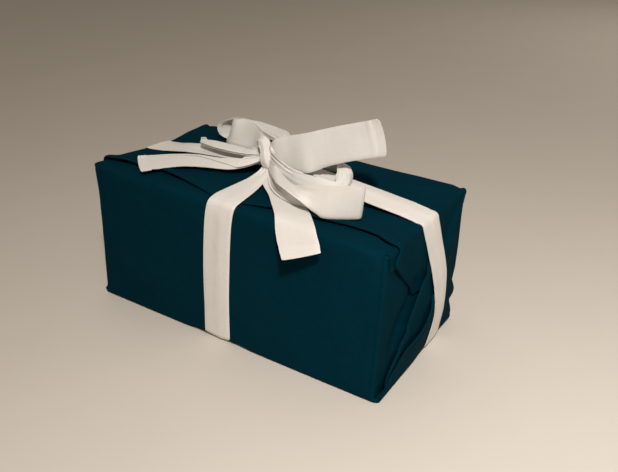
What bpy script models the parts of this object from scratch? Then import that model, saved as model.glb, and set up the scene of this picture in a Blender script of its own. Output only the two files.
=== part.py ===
"""A gift box wrapped in one cotton cloth and tied both ways with a cloth ribbon in a bow.

Three solids: the plain carton that the cloth is folded around, the wrapping cloth with its
overlapping top flap and gift-wrap folded ends, and the ribbon with its bands, knot, loops and tails.
The origin is at the middle of the underside. X runs along the box, Y from front to back, Z up.
"""

import math

import bmesh
import bpy
import numpy as np

MM = 0.001

# Wrapped size: what the outside of the cloth measures, in millimetres as all sizes below.
LENGTH = 300.0
WIDTH = 163.0
HEIGHT = 137.0

CLOTH = 1.0
RIBBON = 1.2
GAP = 0.3
FOLD_RADIUS = 4.0
TURN_STEPS = 3

# Stacking, from the carton outwards: each layer is one cloth and one gap above the last.
LAYER = CLOTH + GAP
FACE_Y = WIDTH / 2 - CLOTH / 2
FACE_Z = HEIGHT - CLOTH / 2
UNDERLAP_Z = FACE_Z - LAYER
FLOOR_Z = CLOTH / 2
SIDE_X = LENGTH / 2 - 2.0
TOP_FLAP_X = SIDE_X + LAYER
STRIP_X = TOP_FLAP_X + LAYER
BOTTOM_FLAP_X = STRIP_X + LAYER
END_BULGE = 4.5
UNDERLAP_REACH = 10.0
TAB_Y = -68.0
SIDE_REACH = 60.0
SWELL_SPAN = 130.0

# Where the bands run under the box: how far they press the cloth up, how far out to each side
# that reaches and fades, and how high up the cloth follows.
RISE = 1.6
RISE_REACH = 24.0
RISE_FADE = 13.0
FOLLOW_TOP = 30.0
FOLLOW_SPAN = 20.0

CARTON_X = SIDE_X - CLOTH / 2 - GAP
CARTON_Y = FACE_Y - CLOTH / 2 - GAP
CARTON_TOP = UNDERLAP_Z - CLOTH / 2 - GAP
CARTON_FLOOR = RISE + CLOTH + GAP
CARTON_RADIUS = FOLD_RADIUS

GIRTH_WIDTH = 27.4
GIRTH_X = -9.0
GIRTH_EDGE_X = -4.8
LONG_WIDTH = 31.0
LONG_Y = -3.0
LONG_Y_UNDER = 28.0
SLANT_TOP = HEIGHT - 8.0
SLANT_SPAN = HEIGHT - 40.0
LEAN_FROM = 40.0
END_TAPER = 2.6
TAPER_FROM = 92.0
TAPER_SPAN = 42.0
BAND_OUT = GAP + RIBBON / 2
BAND_FLOOR = RIBBON / 2
GIRTH_FLOOR = RIBBON / 2 + 0.08

# The free edge of the top flap, from the left end to the right: how far forward it reaches,
# and how far it stands off the layer under it.
FLAP_EDGE = (
    # x, y, lift
    (-150.0, -64.0, 1.0),
    (-128.0, -62.0, 1.2),
    (-92.0, -58.0, 1.0),
    (-62.0, -62.0, 1.2),
    (-24.0, -70.0, 0.0),
    (10.0, -70.0, 0.0),
    (36.0, -65.0, 0.4),
    (70.0, -61.0, 0.8),
    (110.0, -57.0, 0.8),
    (150.0, -64.0, 0.3),
)

# The flaps of an end, by height: where each flap's two slanting edges are.
TOP_FLAP = (
    # z, front y, back y
    (132.5, -67.2, 77.0),
    (126.0, -72.8, 66.0),
    (118.0, -67.0, 56.0),
    (105.0, -54.0, 43.0),
    (92.0, -41.0, 30.0),
    (80.0, -30.0, 22.0),
)
CORNER_TAB = (
    # z, front y, back y
    (131.2, -77.0, -69.1),
    (126.6, -77.0, -73.2),
)
UNDER_STRIP = (
    # z, front y, back y
    (4.5, -68.0, 74.0),
    (18.0, -62.0, 72.0),
    (34.0, -52.0, 66.0),
    (49.0, -44.0, 62.0),
    (61.0, -42.0, 56.0),
    (74.0, -34.0, 47.0),
    (88.0, -21.0, 33.0),
    (99.0, -8.0, 20.0),
    (105.0, 2.0, 12.0),
)
BOTTOM_FLAP = (
    # z, front y, back y
    (4.5, -77.0, 77.0),
    (12.0, -68.0, 79.0),
    (22.0, -55.0, 78.0),
    (34.0, -46.0, 71.0),
    (43.0, -27.0, 64.0),
    (56.0, -7.0, 54.0),
    (67.0, 8.0, 44.0),
    (76.0, 18.0, 34.0),
)

# The bands' runs into the knot: the girth band's two by depth, the lengthwise band's two by length.
GIRTH_FRONT = (
    # y, z, middle x, width
    (-8.0, 151.0, -5.5, 8.0),
    (-13.0, 149.5, -4.5, 9.0),
    (-21.0, 145.5, -3.2, 12.5),
    (-34.0, 142.0, -3.5, 17.0),
    (-46.0, 140.2, -3.7, 21.0),
    (-58.0, 139.1, -4.0, 24.5),
    (-70.0, 138.5, -4.4, 27.0),
)
GIRTH_BACK = (
    # y, z, middle x, width
    (44.0, 137.9, -9.0, 24.0),
    (30.0, 139.5, -9.0, 20.0),
    (17.0, 143.0, -9.0, 15.0),
    (2.0, 150.0, -9.0, 10.0),
)
BAND_RIGHT = (
    # x, z, width, how much higher the back edge is
    (-4.0, 150.0, 12.0, 0.0),
    (8.0, 143.0, 16.0, 0.0),
    (22.0, 139.5, 21.0, 0.0),
    (38.0, 137.9, 26.0, 0.0),
)
BAND_LEFT = (
    # x, z, width, how much higher the back edge is
    (-138.0, 137.9, 31.0, 0.0),
    (-126.0, 138.2, 29.5, 0.5),
    (-112.0, 140.2, 27.5, 1.5),
    (-98.0, 142.2, 25.0, 2.2),
    (-80.0, 143.8, 22.0, 1.6),
    (-62.0, 145.0, 19.5, 1.0),
    (-45.0, 146.2, 17.0, 0.5),
    (-28.0, 147.6, 14.5, 0.0),
    (-14.0, 149.4, 12.0, 0.0),
)

# The bow: each strip of ribbon by its two long edges, a row for each place where it bends.
TAIL_RIGHT = (
    # first edge x, y, z, other edge x, y, z
    (-9, -3, 151.0, -10, -2, 165.0),
    (3, -10, 149.5, -3, -4, 171.5),
    (18, -13, 149.5, 12, -4, 178.0),
    (31, -10, 150.0, 23, -4, 182.0),
    (39, -5, 153.0, 34, -4, 186.1),
    (50, -1, 159.0, 47, -4, 191.3),
    (75, 0, 169.2, 71, -4, 200.6),
    (103, 0, 178.0, 94.5, -4, 209.2),
)
LOOP_FRONT = (
    (-8, -8, 148.0, -7, -9, 160.0),
    (3, -23, 147.0, 4, -17, 160.0),
    (20, -40, 149.0, 14, -26, 155.5),
    (36, -49.5, 149.5, 29, -37, 153.0),
    (50.5, -57, 149.0, 45, -48, 153.5),
    (60.5, -61, 147.5, 58, -54, 159.0),
    (69, -63, 145.0, 69, -57, 162.5),
    (75.5, -62.5, 142.0, 78, -57, 164.5),
    (82, -62, 139.8, 87, -56, 166.3),
    (96, -54, 139.7, 98, -52, 168.0),
    (103.5, -48, 139.7, 106, -45.5, 168.2),
    (106, -44, 140.0, 107.5, -42.5, 168.0),
    (102.5, -42, 140.5, 104, -40.5, 167.0),
    (88, -47, 141.0, 89, -46, 163.5),
    (68, -54, 141.6, 68, -49, 158.5),
    (52, -56, 141.6, 50, -46, 153.0),
    (43, -55, 141.6, 37, -41, 150.0),
    (26, -46.5, 141.8, 21, -31, 149.0),
    (9, -32, 143.0, 8, -21, 150.0),
    (-7, -6, 147.0, -6, -5, 153.0),
)
LOOP_RIGHT = (
    (-6, -12, 152.0, -6, -10, 163.0),
    (14, -28, 149.5, 14, -25, 163.0),
    (36, -36, 146.0, 34, -33, 160.5),
    (52, -38, 143.0, 52, -32, 159.0),
    (62, -36, 141.5, 61, -28.5, 157.5),
    (73, -30, 140.5, 70, -24, 155.5),
    (79, -18, 140.4, 69, -18, 156.0),
    (80, -4, 140.4, 65, -12, 157.5),
    (76, 8, 140.4, 61, -5, 159.0),
    (66, 12, 140.4, 56.5, 1, 160.0),
    (53, 8, 140.4, 49, 6, 161.5),
    (38, 4, 141.0, 36, 5, 162.0),
    (20, 1, 144.0, 19, 3, 162.0),
    (4, -2, 148.0, 4, -1, 162.0),
    (-7, -2, 151.0, -7, -2, 161.0),
)
TAIL_FRONT = (
    (-11, -8, 149.0, -7, -6, 151.0),
    (-5, -17, 145.0, 3, -13, 146.5),
    (4.5, -34, 141.6, 17, -22, 143.0),
    (22, -50.5, 140.3, 41, -37, 140.3),
    (35, -65, 140.0, 64, -56, 140.0),
    (46, -77.5, 139.8, 76, -69, 140.0),
    (50.5, -82.5, 136.5, 85, -80, 140.0),
    (52.5, -84.5, 129.0, 90, -85.5, 137.0),
    (57, -88, 120.5, 94, -88, 131.5),
    (63, -92, 111.0, 97.5, -90.5, 125.6),
)
TAIL_LEFT = (
    (-11, -7, 151.0, -11, -5, 154.0),
    (-22, -19, 145.5, -29, -13, 149.0),
    (-36, -28, 142.5, -53, -18, 146.0),
    (-57, -36, 142.0, -80, -21, 144.0),
    (-76, -44, 140.6, -103, -31, 141.5),
    (-88, -59, 140.0, -114, -44, 141.5),
    (-97, -76, 140.0, -121, -55, 143.0),
)
TAIL_BACK = (
    (-11, -4, 152.0, -11, -2, 156.0),
    (-22, -5, 150.5, -26, -2, 154.8),
    (-40, -3, 148.5, -44, 2, 152.5),
    (-65, -1, 146.5, -71, 7.5, 149.8),
    (-90, 3, 145.0, -95, 8, 147.4),
)
LOOP_LEFT = (
    (-11, 0, 152.0, -10, 0, 162.0),
    (-31, 14, 147.0, -28, 12, 166.0),
    (-48, 23, 144.0, -46, 25, 168.0),
    (-64, 26, 142.0, -62, 33, 169.0),
    (-78, 27, 141.0, -74, 32, 167.0),
    (-84, 33, 141.0, -79, 36, 166.0),
    (-76, 38, 142.0, -72, 42, 165.0),
    (-58, 34, 144.0, -56, 40, 164.0),
    (-34, 22, 148.0, -36, 26, 162.0),
    (-9, 1, 153.0, -9, 2, 162.0),
)
LOOP_BACK = (
    (-10, 0, 152.0, -7, 1, 152.0),
    (-50, 40, 141.0, -38, 56, 141.0),
    (-93, 43, 140.2, -76, 66, 140.2),
    (-103, 41, 147.5, -86, 64, 147.0),
    (-100, 42, 157.0, -84, 64, 155.5),
    (-80, 45, 164.5, -68, 57, 160.2),
    (-54, 38, 161.5, -50, 49, 162.8),
    (-34, 28, 161.5, -30, 40, 165.0),
    (-14, 16, 162.0, -8, 26, 168.0),
    (-6, 4, 158.0, 2, 10, 163.0),
)
BOW = (TAIL_RIGHT, LOOP_FRONT, LOOP_RIGHT, TAIL_FRONT, TAIL_LEFT, TAIL_BACK, LOOP_LEFT, LOOP_BACK)

# The knot's three lumps, stretched balls that are tilted in the plane facing the front.
KNOT = (
    # middle x, y, z, half sizes x, y, z, tilt
    (-9.5, -4.0, 152.5, 10.0, 9.0, 12.5, 0.0),
    (-12.0, -6.0, 166.5, 7.5, 8.5, 5.0, 25.0),
    (-6.0, -12.0, 156.5, 5.5, 5.5, 9.0, -12.0),
)

CLOTH_COLOUR = (0.003, 0.030, 0.045, 1.0)
RIBBON_COLOUR = (0.74, 0.68, 0.61, 1.0)
CARTON_COLOUR = (0.36, 0.24, 0.14, 1.0)


def clear_scene():
    for item in list(bpy.data.objects):
        bpy.data.objects.remove(item, do_unlink=True)


def material(name, colour, roughness):
    made = bpy.data.materials.new(name)
    made.use_nodes = True
    shader = made.node_tree.nodes["Principled BSDF"]
    shader.inputs["Base Color"].default_value = colour
    shader.inputs["Roughness"].default_value = roughness
    shader.inputs["Metallic"].default_value = 0.0
    return made


def new_object(name, mesh, collection):
    made = bpy.data.objects.new(name, mesh)
    collection.objects.link(made)
    return made


def column(table, index):
    """One column of a table, as an array."""
    return np.array([row[index] for row in table], float)


def arc(centre, radius, start, end, steps):
    """Points of an arc in a plane, from the start angle to the end angle in degrees."""
    angle = np.radians(np.linspace(start, end, steps + 1))
    return np.column_stack([centre[0] + radius * np.cos(angle), centre[1] + radius * np.sin(angle)])


def line(start, end, steps):
    return np.linspace(start, end, steps + 1)


def chain(*runs):
    """Runs of points end to end, each run's first point being the last one's end."""
    return np.vstack([runs[0]] + [run[1:] for run in runs[1:]])


def long_band_y(x, z):
    """The middle of the lengthwise band: straight on top, slanting to the back down the right end."""
    down = np.clip((SLANT_TOP - z) / SLANT_SPAN, 0.0, 1.0)
    right = np.clip((x + LENGTH / 2) / LENGTH, 0.0, 1.0)
    return LONG_Y + (LONG_Y_UNDER - LONG_Y) * down * right


def rise(x, y):
    """How far the cloth's underside is pressed up where a band of ribbon runs under the box."""
    across = np.abs(x - GIRTH_X) - GIRTH_WIDTH / 2
    along = np.abs(y - long_band_y(x, 0.0)) - LONG_WIDTH / 2
    return RISE * np.clip((RISE_REACH - np.minimum(across, along)) / RISE_FADE, 0.0, 1.0)


def bulge(y, z):
    """How far the folded ends swell outwards, most at mid height."""
    swell = np.sin(math.pi * np.clip((z - FOLD_RADIUS) / SWELL_SPAN, 0.0, 1.0))
    return END_BULGE * swell * np.cos(math.pi * np.clip(y / (WIDTH + 1.0), -0.5, 0.5))


def settled(points):
    """Lifts the low points of a surface over the bands under the box."""
    moved = points.copy()
    share = np.clip((FOLLOW_TOP - moved[..., 2]) / FOLLOW_SPAN, 0.0, 1.0)
    moved[..., 2] += share * rise(moved[..., 0], moved[..., 1])
    return moved


def wrap_profile():
    """The section of the wrapped cloth: from its hidden edge on top, forward, under, and over the back.

    Returns the points, and the row ranges of the corner tab and the front, bottom, back and top panels.
    """
    fold = FOLD_RADIUS
    under_top = UNDERLAP_Z - fold
    runs = (
        line((UNDERLAP_REACH, UNDERLAP_Z), (TAB_Y, UNDERLAP_Z), 3),
        line((TAB_Y, UNDERLAP_Z), (fold - FACE_Y, UNDERLAP_Z), 1),
        arc((fold - FACE_Y, under_top), fold, 90, 180, TURN_STEPS),
        line((-FACE_Y, under_top), (-FACE_Y, FLOOR_Z + fold), 6),
        arc((fold - FACE_Y, FLOOR_Z + fold), fold, 180, 270, TURN_STEPS),
        line((fold - FACE_Y, FLOOR_Z), (FACE_Y - fold, FLOOR_Z), 12),
        arc((FACE_Y - fold, FLOOR_Z + fold), fold, 270, 360, TURN_STEPS),
        line((FACE_Y, FLOOR_Z + fold), (FACE_Y, FACE_Z - fold), 6),
        arc((FACE_Y - fold, FACE_Z - fold), fold, 0, 90, TURN_STEPS),
        line((FACE_Y - fold, FACE_Z), (FLAP_EDGE[0][1], FACE_Z), 8),
    )
    ends = np.cumsum([len(run) - 1 for run in runs])
    panels = {
        "tab": (ends[0], ends[1]),
        "front": (ends[2], ends[3]),
        "bottom": (ends[4], ends[5]),
        "back": (ends[6], ends[7]),
        "top": (ends[8], ends[9]),
    }
    return chain(*runs), panels


def tube_grid(stations):
    """The cloth around the box, a grid of points: the section's points by the stations along X."""
    profile, panels = wrap_profile()
    grid = np.zeros((len(profile), len(stations), 3))
    grid[..., 0] = stations
    grid[..., 1] = profile[:, :1]
    grid[..., 2] = profile[:, 1:]
    first, last = panels["top"]
    share = np.linspace(0.0, 1.0, last - first + 1)[:, None]
    edge_y = np.interp(stations, column(FLAP_EDGE, 0), column(FLAP_EDGE, 1))
    lift = np.interp(stations, column(FLAP_EDGE, 0), column(FLAP_EDGE, 2))
    grid[first:last + 1, :, 1] = grid[first, :, 1] * (1 - share) + edge_y * share
    grid[first:last + 1, :, 2] += lift * np.clip(share * 4.0 - 3.0, 0.0, 1.0)
    return settled(grid), panels


def side_flap(heights, side_y, end):
    """A side panel's extension, turned in round the upright edge and laid on the end of the carton."""
    toward = math.copysign(1.0, -side_y)
    turn = arc((SIDE_X - FOLD_RADIUS, 0.0), FOLD_RADIUS, 90, 0, TURN_STEPS + 1)
    turn[:, 1] = abs(side_y) - FOLD_RADIUS + turn[:, 1]
    reach = line((SIDE_X, abs(side_y) - FOLD_RADIUS), (SIDE_X, abs(side_y) - SIDE_REACH), 4)
    path = chain(turn, reach)
    grid = np.zeros((len(heights), len(path), 3))
    grid[..., 0] = path[:, 0]
    grid[..., 1] = -toward * path[:, 1]
    grid[..., 2] = heights[:, None]
    return settled(on_end(grid, end))


def on_end(grid, end):
    """Swells an end's grid and puts it at the right end (+1) or, mirrored, at the left (-1)."""
    moved = grid.copy()
    share = np.clip((moved[..., 0] - (SIDE_X - FOLD_RADIUS)) / FOLD_RADIUS, 0.0, 1.0)
    moved[..., 0] += share * bulge(moved[..., 1], moved[..., 2])
    moved[..., 0] *= end
    return moved


def fold_flap(path, table, shares, end):
    """A flap that follows a path of x and z, its width from a table of its two slanting edges."""
    turned = table if table[0][0] < table[-1][0] else table[::-1]
    front = np.interp(path[:, 1], column(turned, 0), column(turned, 1))
    back = np.interp(path[:, 1], column(turned, 0), column(turned, 2))
    grid = np.zeros((len(shares), len(path), 3))
    grid[..., 0] = path[:, 0]
    grid[..., 1] = front * (1 - shares[:, None]) + back * shares[:, None]
    grid[..., 2] = path[:, 1]
    return settled(on_end(grid, end))


def add_grid(shape, grid):
    """Adds a grid of points to a bmesh as quads."""
    rows, columns = grid.shape[:2]
    made = [[shape.verts.new(grid[row, step] * MM) for step in range(columns)] for row in range(rows)]
    for row in range(rows - 1):
        for step in range(columns - 1):
            corners = (made[row][step], made[row][step + 1], made[row + 1][step + 1], made[row + 1][step])
            shape.faces.new(corners)


def surface_object(name, grids, collection, thickness):
    """An open surface of joined grids, given its thickness by a Solidify modifier."""
    shape = bmesh.new()
    for grid in grids:
        add_grid(shape, grid)
    bmesh.ops.remove_doubles(shape, verts=shape.verts, dist=0.02 * MM)
    bmesh.ops.recalc_face_normals(shape, faces=shape.faces)
    mesh = bpy.data.meshes.new(name)
    shape.to_mesh(mesh)
    shape.free()
    made = new_object(name, mesh, collection)
    thick = made.modifiers.new("thickness", "SOLIDIFY")
    thick.thickness = thickness * MM
    thick.offset = 0.0
    thick.use_even_offset = True
    return made


def corner_grid(side_edge, flap_edge, centre):
    """Closes a corner of the box between a side flap's edge and another flap's edge.

    About the corner's centre in the plane across the box, the angle goes evenly from one edge
    to the other while the distance and x go from the one's to the other's.
    """
    turn = np.linspace(0.0, math.pi / 2, TURN_STEPS + 1)[:, None]
    share = turn / turn[-1]
    side_out = side_edge[:, 1] - centre[0]
    flap_out = flap_edge[:, 2] - centre[1]
    distance = np.abs(side_out) * (1 - share) + np.abs(flap_out) * share
    grid = np.zeros((TURN_STEPS + 1, len(side_edge), 3))
    grid[..., 0] = side_edge[:, 0] * (1 - share) + flap_edge[:, 0] * share
    grid[..., 1] = centre[0] + math.copysign(1.0, side_out[0]) * distance * np.cos(turn)
    grid[..., 2] = centre[1] + math.copysign(1.0, flap_out[0]) * distance * np.sin(turn)
    return grid


def end_grids(rim, profile, panels, end):
    """The cloth's folds at one end: two side flaps, the corner tab, two big flaps and four corners."""
    fold = FOLD_RADIUS
    sides = {}
    for panel, side_y in (("front", -FACE_Y), ("back", FACE_Y)):
        first, last = panels[panel]
        sides[panel] = side_flap(profile[first:last + 1, 1], side_y, end)
    turn = TOP_FLAP_X - fold
    flaps = {}
    for panel, level, table, steps in (("tab", UNDERLAP_Z, CORNER_TAB, 1), ("top", FACE_Z, TOP_FLAP, 5)):
        first, last = panels[panel]
        path = chain(
            arc((turn, level - fold), fold, 90, 0, TURN_STEPS),
            line((TOP_FLAP_X, level - fold), (TOP_FLAP_X, table[-1][0]), steps),
        )
        flap = fold_flap(path, table, np.linspace(1.0, 0.0, last - first + 1), end)
        flaps[panel] = joined(rim[first:last + 1], flap)
    first, last = panels["bottom"]
    turn = BOTTOM_FLAP_X - fold
    path = chain(
        arc((turn, FLOOR_Z + fold), fold, -90, 0, TURN_STEPS),
        line((BOTTOM_FLAP_X, FLOOR_Z + fold), (BOTTOM_FLAP_X, BOTTOM_FLAP[-1][0]), 6),
    )
    flap = fold_flap(path, BOTTOM_FLAP, np.linspace(0.0, 1.0, last - first + 1), end)
    flaps["bottom"] = joined(rim[first:last + 1], flap)
    corners = (
        # side flap's edge, other flap's edge, centre y, z
        (sides["front"][-1], flaps["bottom"][0], (fold - FACE_Y, FLOOR_Z + fold)),
        (sides["back"][0], flaps["bottom"][-1], (FACE_Y - fold, FLOOR_Z + fold)),
        (sides["front"][0], flaps["tab"][-1], (fold - FACE_Y, UNDERLAP_Z - fold)),
        (sides["back"][-1], flaps["top"][0], (FACE_Y - fold, FACE_Z - fold)),
    )
    turned = TURN_STEPS + 2
    closed = [corner_grid(side[:turned], flap[:turned], centre) for side, flap, centre in corners]
    return [*sides.values(), *flaps.values(), *closed]


def wrap_grids():
    """All the grids of the cloth but its two under strips: the tube and the folds of each end."""
    stop = SIDE_X - FOLD_RADIUS
    tube, panels = tube_grid(np.linspace(-stop, stop, 15))
    profile, _ = wrap_profile()
    grids = [tube]
    for end in (-1.0, 1.0):
        rim = tube[:, -1] if end > 0 else tube[:, 0]
        grids.extend(end_grids(rim, profile, panels, end))
    return grids


def joined(rim, flap):
    """A flap's grid with the tube's last column put before it."""
    return np.concatenate([rim[:, None], flap], axis=1)


def strip_grid(end):
    """The cloth's second layer at an end, which shows as a strip beside the bottom flap."""
    turn = BOTTOM_FLAP_X - FOLD_RADIUS
    path = chain(
        np.array([(SIDE_X - FOLD_RADIUS, 0.60), (SIDE_X - 2.0, 1.35), (turn, FLOOR_Z + LAYER)]),
        arc((turn, FLOOR_Z + FOLD_RADIUS), FOLD_RADIUS - LAYER, -90, 0, 3),
        line((STRIP_X, FLOOR_Z + FOLD_RADIUS), (STRIP_X, UNDER_STRIP[-1][0]), 9),
    )
    return fold_flap(path, UNDER_STRIP, np.linspace(0.0, 1.0, 7), end)


def baked(item, collection):
    """The object with its modifiers applied and its faces pointing out, as a plain mesh object."""
    graph = bpy.context.evaluated_depsgraph_get()
    mesh = bpy.data.meshes.new_from_object(item.evaluated_get(graph))
    shape = bmesh.new()
    shape.from_mesh(mesh)
    bmesh.ops.recalc_face_normals(shape, faces=shape.faces)
    shape.to_mesh(mesh)
    shape.free()
    name = item.name
    bpy.data.objects.remove(item, do_unlink=True)
    return new_object(name, mesh, collection)


def united(base, others, collection):
    """The base with the others joined into it by Boolean unions."""
    for other in others:
        union = base.modifiers.new("join", "BOOLEAN")
        union.operation = "UNION"
        union.object = other
        bpy.context.view_layer.update()
        base = baked(base, collection)
        bpy.data.objects.remove(other, do_unlink=True)
    return base


def make_carton(collection):
    """The plain carton that the cloth is folded around."""
    bpy.ops.mesh.primitive_cube_add(size=1.0)
    carton = bpy.context.active_object
    carton.name = "gift_box"
    size = (2 * CARTON_X, 2 * CARTON_Y, CARTON_TOP - CARTON_FLOOR)
    for vertex in carton.data.vertices:
        vertex.co.x *= size[0] * MM
        vertex.co.y *= size[1] * MM
        vertex.co.z *= size[2] * MM
    carton.location.z = (CARTON_TOP + CARTON_FLOOR) / 2 * MM
    edges = carton.modifiers.new("edges", "BEVEL")
    edges.width = CARTON_RADIUS * MM
    edges.segments = 3
    for other in list(carton.users_collection):
        other.objects.unlink(carton)
    collection.objects.link(carton)
    carton.data.materials.append(material("carton", CARTON_COLOUR, 0.8))
    return carton


def make_wrap(collection):
    """The wrapping cloth, one sheet: its tube, its end flaps and the strips under them."""
    cloth = surface_object("wrap_cloth", wrap_grids(), collection, CLOTH)
    bpy.context.view_layer.update()
    cloth = baked(cloth, collection)
    strips = []
    for end in (-1.0, 1.0):
        strip = surface_object("under_strip", [strip_grid(end)], collection, CLOTH)
        bpy.context.view_layer.update()
        strips.append(baked(strip, collection))
    cloth = united(cloth, strips, collection)
    cloth.data.materials.clear()
    cloth.data.materials.append(material("teal_cotton", CLOTH_COLOUR, 0.85))
    return cloth


def smooth_rows(table, steps):
    """A smooth curve through a table's rows, Catmull-Rom, with the given steps between rows."""
    rows = np.array(table, float)
    padded = np.vstack([2 * rows[0] - rows[1], rows, 2 * rows[-1] - rows[-2]])
    share = np.linspace(0.0, 1.0, steps, endpoint=False)[:, None]
    pieces = []
    for index in range(1, len(rows)):
        before, start, end, after = padded[index - 1:index + 3]
        pieces.append(
            0.5 * (2 * start + (end - before) * share
                   + (2 * before - 5 * start + 4 * end - after) * share ** 2
                   + (3 * start - before - 3 * end + after) * share ** 3)
        )
    return np.vstack(pieces + [rows[-1:]])


def ribbon_strip(name, rows, collection):
    """A strip of ribbon between two edges, each row holding a point of both."""
    shares = np.linspace(0.0, 1.0, 3)[:, None, None]
    grid = rows[None, :, :3] * (1 - shares) + rows[None, :, 3:] * shares
    strip = surface_object(name, [grid], collection, RIBBON)
    bpy.context.view_layer.update()
    return baked(strip, collection)


def band_rows(centre, across, widths):
    """The rows of a band: its middle line, its crosswise direction and its widths."""
    half = widths[:, None] / 2 * np.array(across, float)
    return np.hstack([centre - half, centre + half])


def girth_band():
    """The band round the middle of the box, from the front of the knot under the box to its back.

    It hangs straight down the front, leans a little towards the knot near the top edge, and
    draws together and rises where it runs into the knot.
    """
    side, top, floor = FACE_Y + CLOTH / 2 + BAND_OUT, HEIGHT + BAND_OUT, GIRTH_FLOOR
    turn = FOLD_RADIUS + CLOTH / 2 + BAND_OUT
    front, back = (np.array(table)[:, :2] for table in (GIRTH_FRONT, GIRTH_BACK))
    path = chain(
        front,
        line(front[-1], (turn - side, top), 1),
        arc((turn - side, top - turn), turn, 90, 180, 3),
        line((-side, top - turn), (-side, floor + turn), 5),
        arc((turn - side, floor + turn), turn, 180, 270, 3),
        line((turn - side, floor), (side - turn, floor), 3),
        arc((side - turn, floor + turn), turn, 270, 360, 3),
        line((side, floor + turn), (side, top - turn), 3),
        arc((side - turn, top - turn), turn, 0, 90, 3),
        line((side - turn, top), back[0], 2),
        back,
    )
    places = np.concatenate([[-side], column(GIRTH_FRONT, 0)[::-1], column(GIRTH_BACK, 0)[::-1], [side]])
    centres = np.concatenate(
        [[GIRTH_EDGE_X], column(GIRTH_FRONT, 2)[::-1], column(GIRTH_BACK, 2)[::-1], [GIRTH_X]])
    widths = np.concatenate(
        [[GIRTH_WIDTH], column(GIRTH_FRONT, 3)[::-1], column(GIRTH_BACK, 3)[::-1], [GIRTH_WIDTH]])
    on_top = path[:, 1] > top - turn
    in_front = (path[:, 0] < 0.0) & ~on_top
    lean = np.clip((path[:, 1] - LEAN_FROM) / (top - LEAN_FROM), 0.0, 1.0) ** 3
    x = np.where(on_top, np.interp(path[:, 0], places, centres), GIRTH_X)
    x = np.where(in_front, GIRTH_X + (GIRTH_EDGE_X - GIRTH_X) * lean, x)
    width = np.where(on_top, np.interp(path[:, 0], places, widths), GIRTH_WIDTH)
    return band_rows(np.column_stack([x, path]), (1.0, 0.0, 0.0), width)


def end_path(end):
    """The lengthwise band's path of x and z down one end, over the folds, from top to bottom."""
    top, floor = HEIGHT + BAND_OUT, BAND_FLOOR
    turn = FOLD_RADIUS + CLOTH / 2 + BAND_OUT
    edge = TOP_FLAP_X - FOLD_RADIUS
    foot = BOTTOM_FLAP_X - FOLD_RADIUS
    heights = np.array((122.0, 110.0, 98.0, 84.0, 70.0, 56.0, 42.0, 28.0, 16.0))
    out = BOTTOM_FLAP_X + CLOTH / 2 + BAND_OUT
    taper = END_TAPER * np.clip((heights - TAPER_FROM) / TAPER_SPAN, 0.0, 1.0)
    down = np.column_stack([out - taper + bulge(0.0, heights), heights])
    path = chain(
        arc((edge, top - turn), turn, 90, 0, 3),
        np.vstack([[(edge + turn, top - turn)], down, [(foot + turn, floor + turn)]]),
        arc((foot, floor + turn), turn, 0, -90, 3),
    )
    return path * (end, 1.0)


def long_band():
    """The lengthwise band, from the right of the knot over the right end, under, and up the left.

    Near the knot it rises off the box, draws together and tilts, by the tables of its two runs.
    """
    top = HEIGHT + BAND_OUT
    right, left = end_path(1.0), end_path(-1.0)[::-1]
    run_right, run_left = (np.array(table)[:, :2] for table in (BAND_RIGHT, BAND_LEFT))
    path = chain(
        run_right,
        line(run_right[-1], right[0], 3),
        right,
        line(right[-1], left[0], 5),
        left,
        line(left[-1], run_left[0], 1),
        run_left,
    )
    x, z = path[:, 0], path[:, 1]
    centre = np.column_stack([x, long_band_y(x, z), z])
    above = z > top - 0.01
    places = np.concatenate([column(BAND_LEFT, 0), column(BAND_RIGHT, 0)])
    wide, tilt = (np.concatenate([column(BAND_LEFT, index), column(BAND_RIGHT, index)]) for index in (2, 3))
    widths = np.where(above, np.interp(x, places, wide), LONG_WIDTH)
    rows = band_rows(centre, (0.0, 1.0, 0.0), widths)
    rows[:, 5] += np.where(above, np.interp(x, places, tilt), 0.0)
    return rows


def knot_part(name, row, collection):
    """One lump of the knot: a stretched ball, tilted in the plane that faces the front."""
    centre, radii, tilt = row[:3], row[3:6], math.radians(row[6])
    shape = bmesh.new()
    bmesh.ops.create_uvsphere(shape, u_segments=14, v_segments=9, radius=1.0)
    for vertex in shape.verts:
        x, y, z = (vertex.co[axis] * radii[axis] for axis in range(3))
        vertex.co.x = (centre[0] + x * math.cos(tilt) + z * math.sin(tilt)) * MM
        vertex.co.y = (centre[1] + y) * MM
        vertex.co.z = (centre[2] - x * math.sin(tilt) + z * math.cos(tilt)) * MM
    mesh = bpy.data.meshes.new(name)
    shape.to_mesh(mesh)
    shape.free()
    return new_object(name, mesh, collection)


def make_ribbon(collection):
    """The ribbon: two bands, the knot's lumps, four loops' strips and four tails, all joined."""
    ribbon = knot_part("ribbon", KNOT[0], collection)
    pieces = [knot_part("lump_%d" % index, row, collection) for index, row in enumerate(KNOT[1:])]
    pieces.append(ribbon_strip("girth", girth_band(), collection))
    pieces.append(ribbon_strip("lengthwise", long_band(), collection))
    for index, table in enumerate(BOW):
        pieces.append(ribbon_strip("bow_%d" % index, smooth_rows(table, 3), collection))
    ribbon = united(ribbon, pieces, collection)
    ribbon.data.materials.clear()
    ribbon.data.materials.append(material("white_cotton", RIBBON_COLOUR, 0.85))
    return ribbon


def main():
    clear_scene()
    collection = bpy.data.collections.new("wrapped_gift_box")
    bpy.context.scene.collection.children.link(collection)
    make_carton(collection)
    make_wrap(collection)
    make_ribbon(collection)


main()
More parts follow.
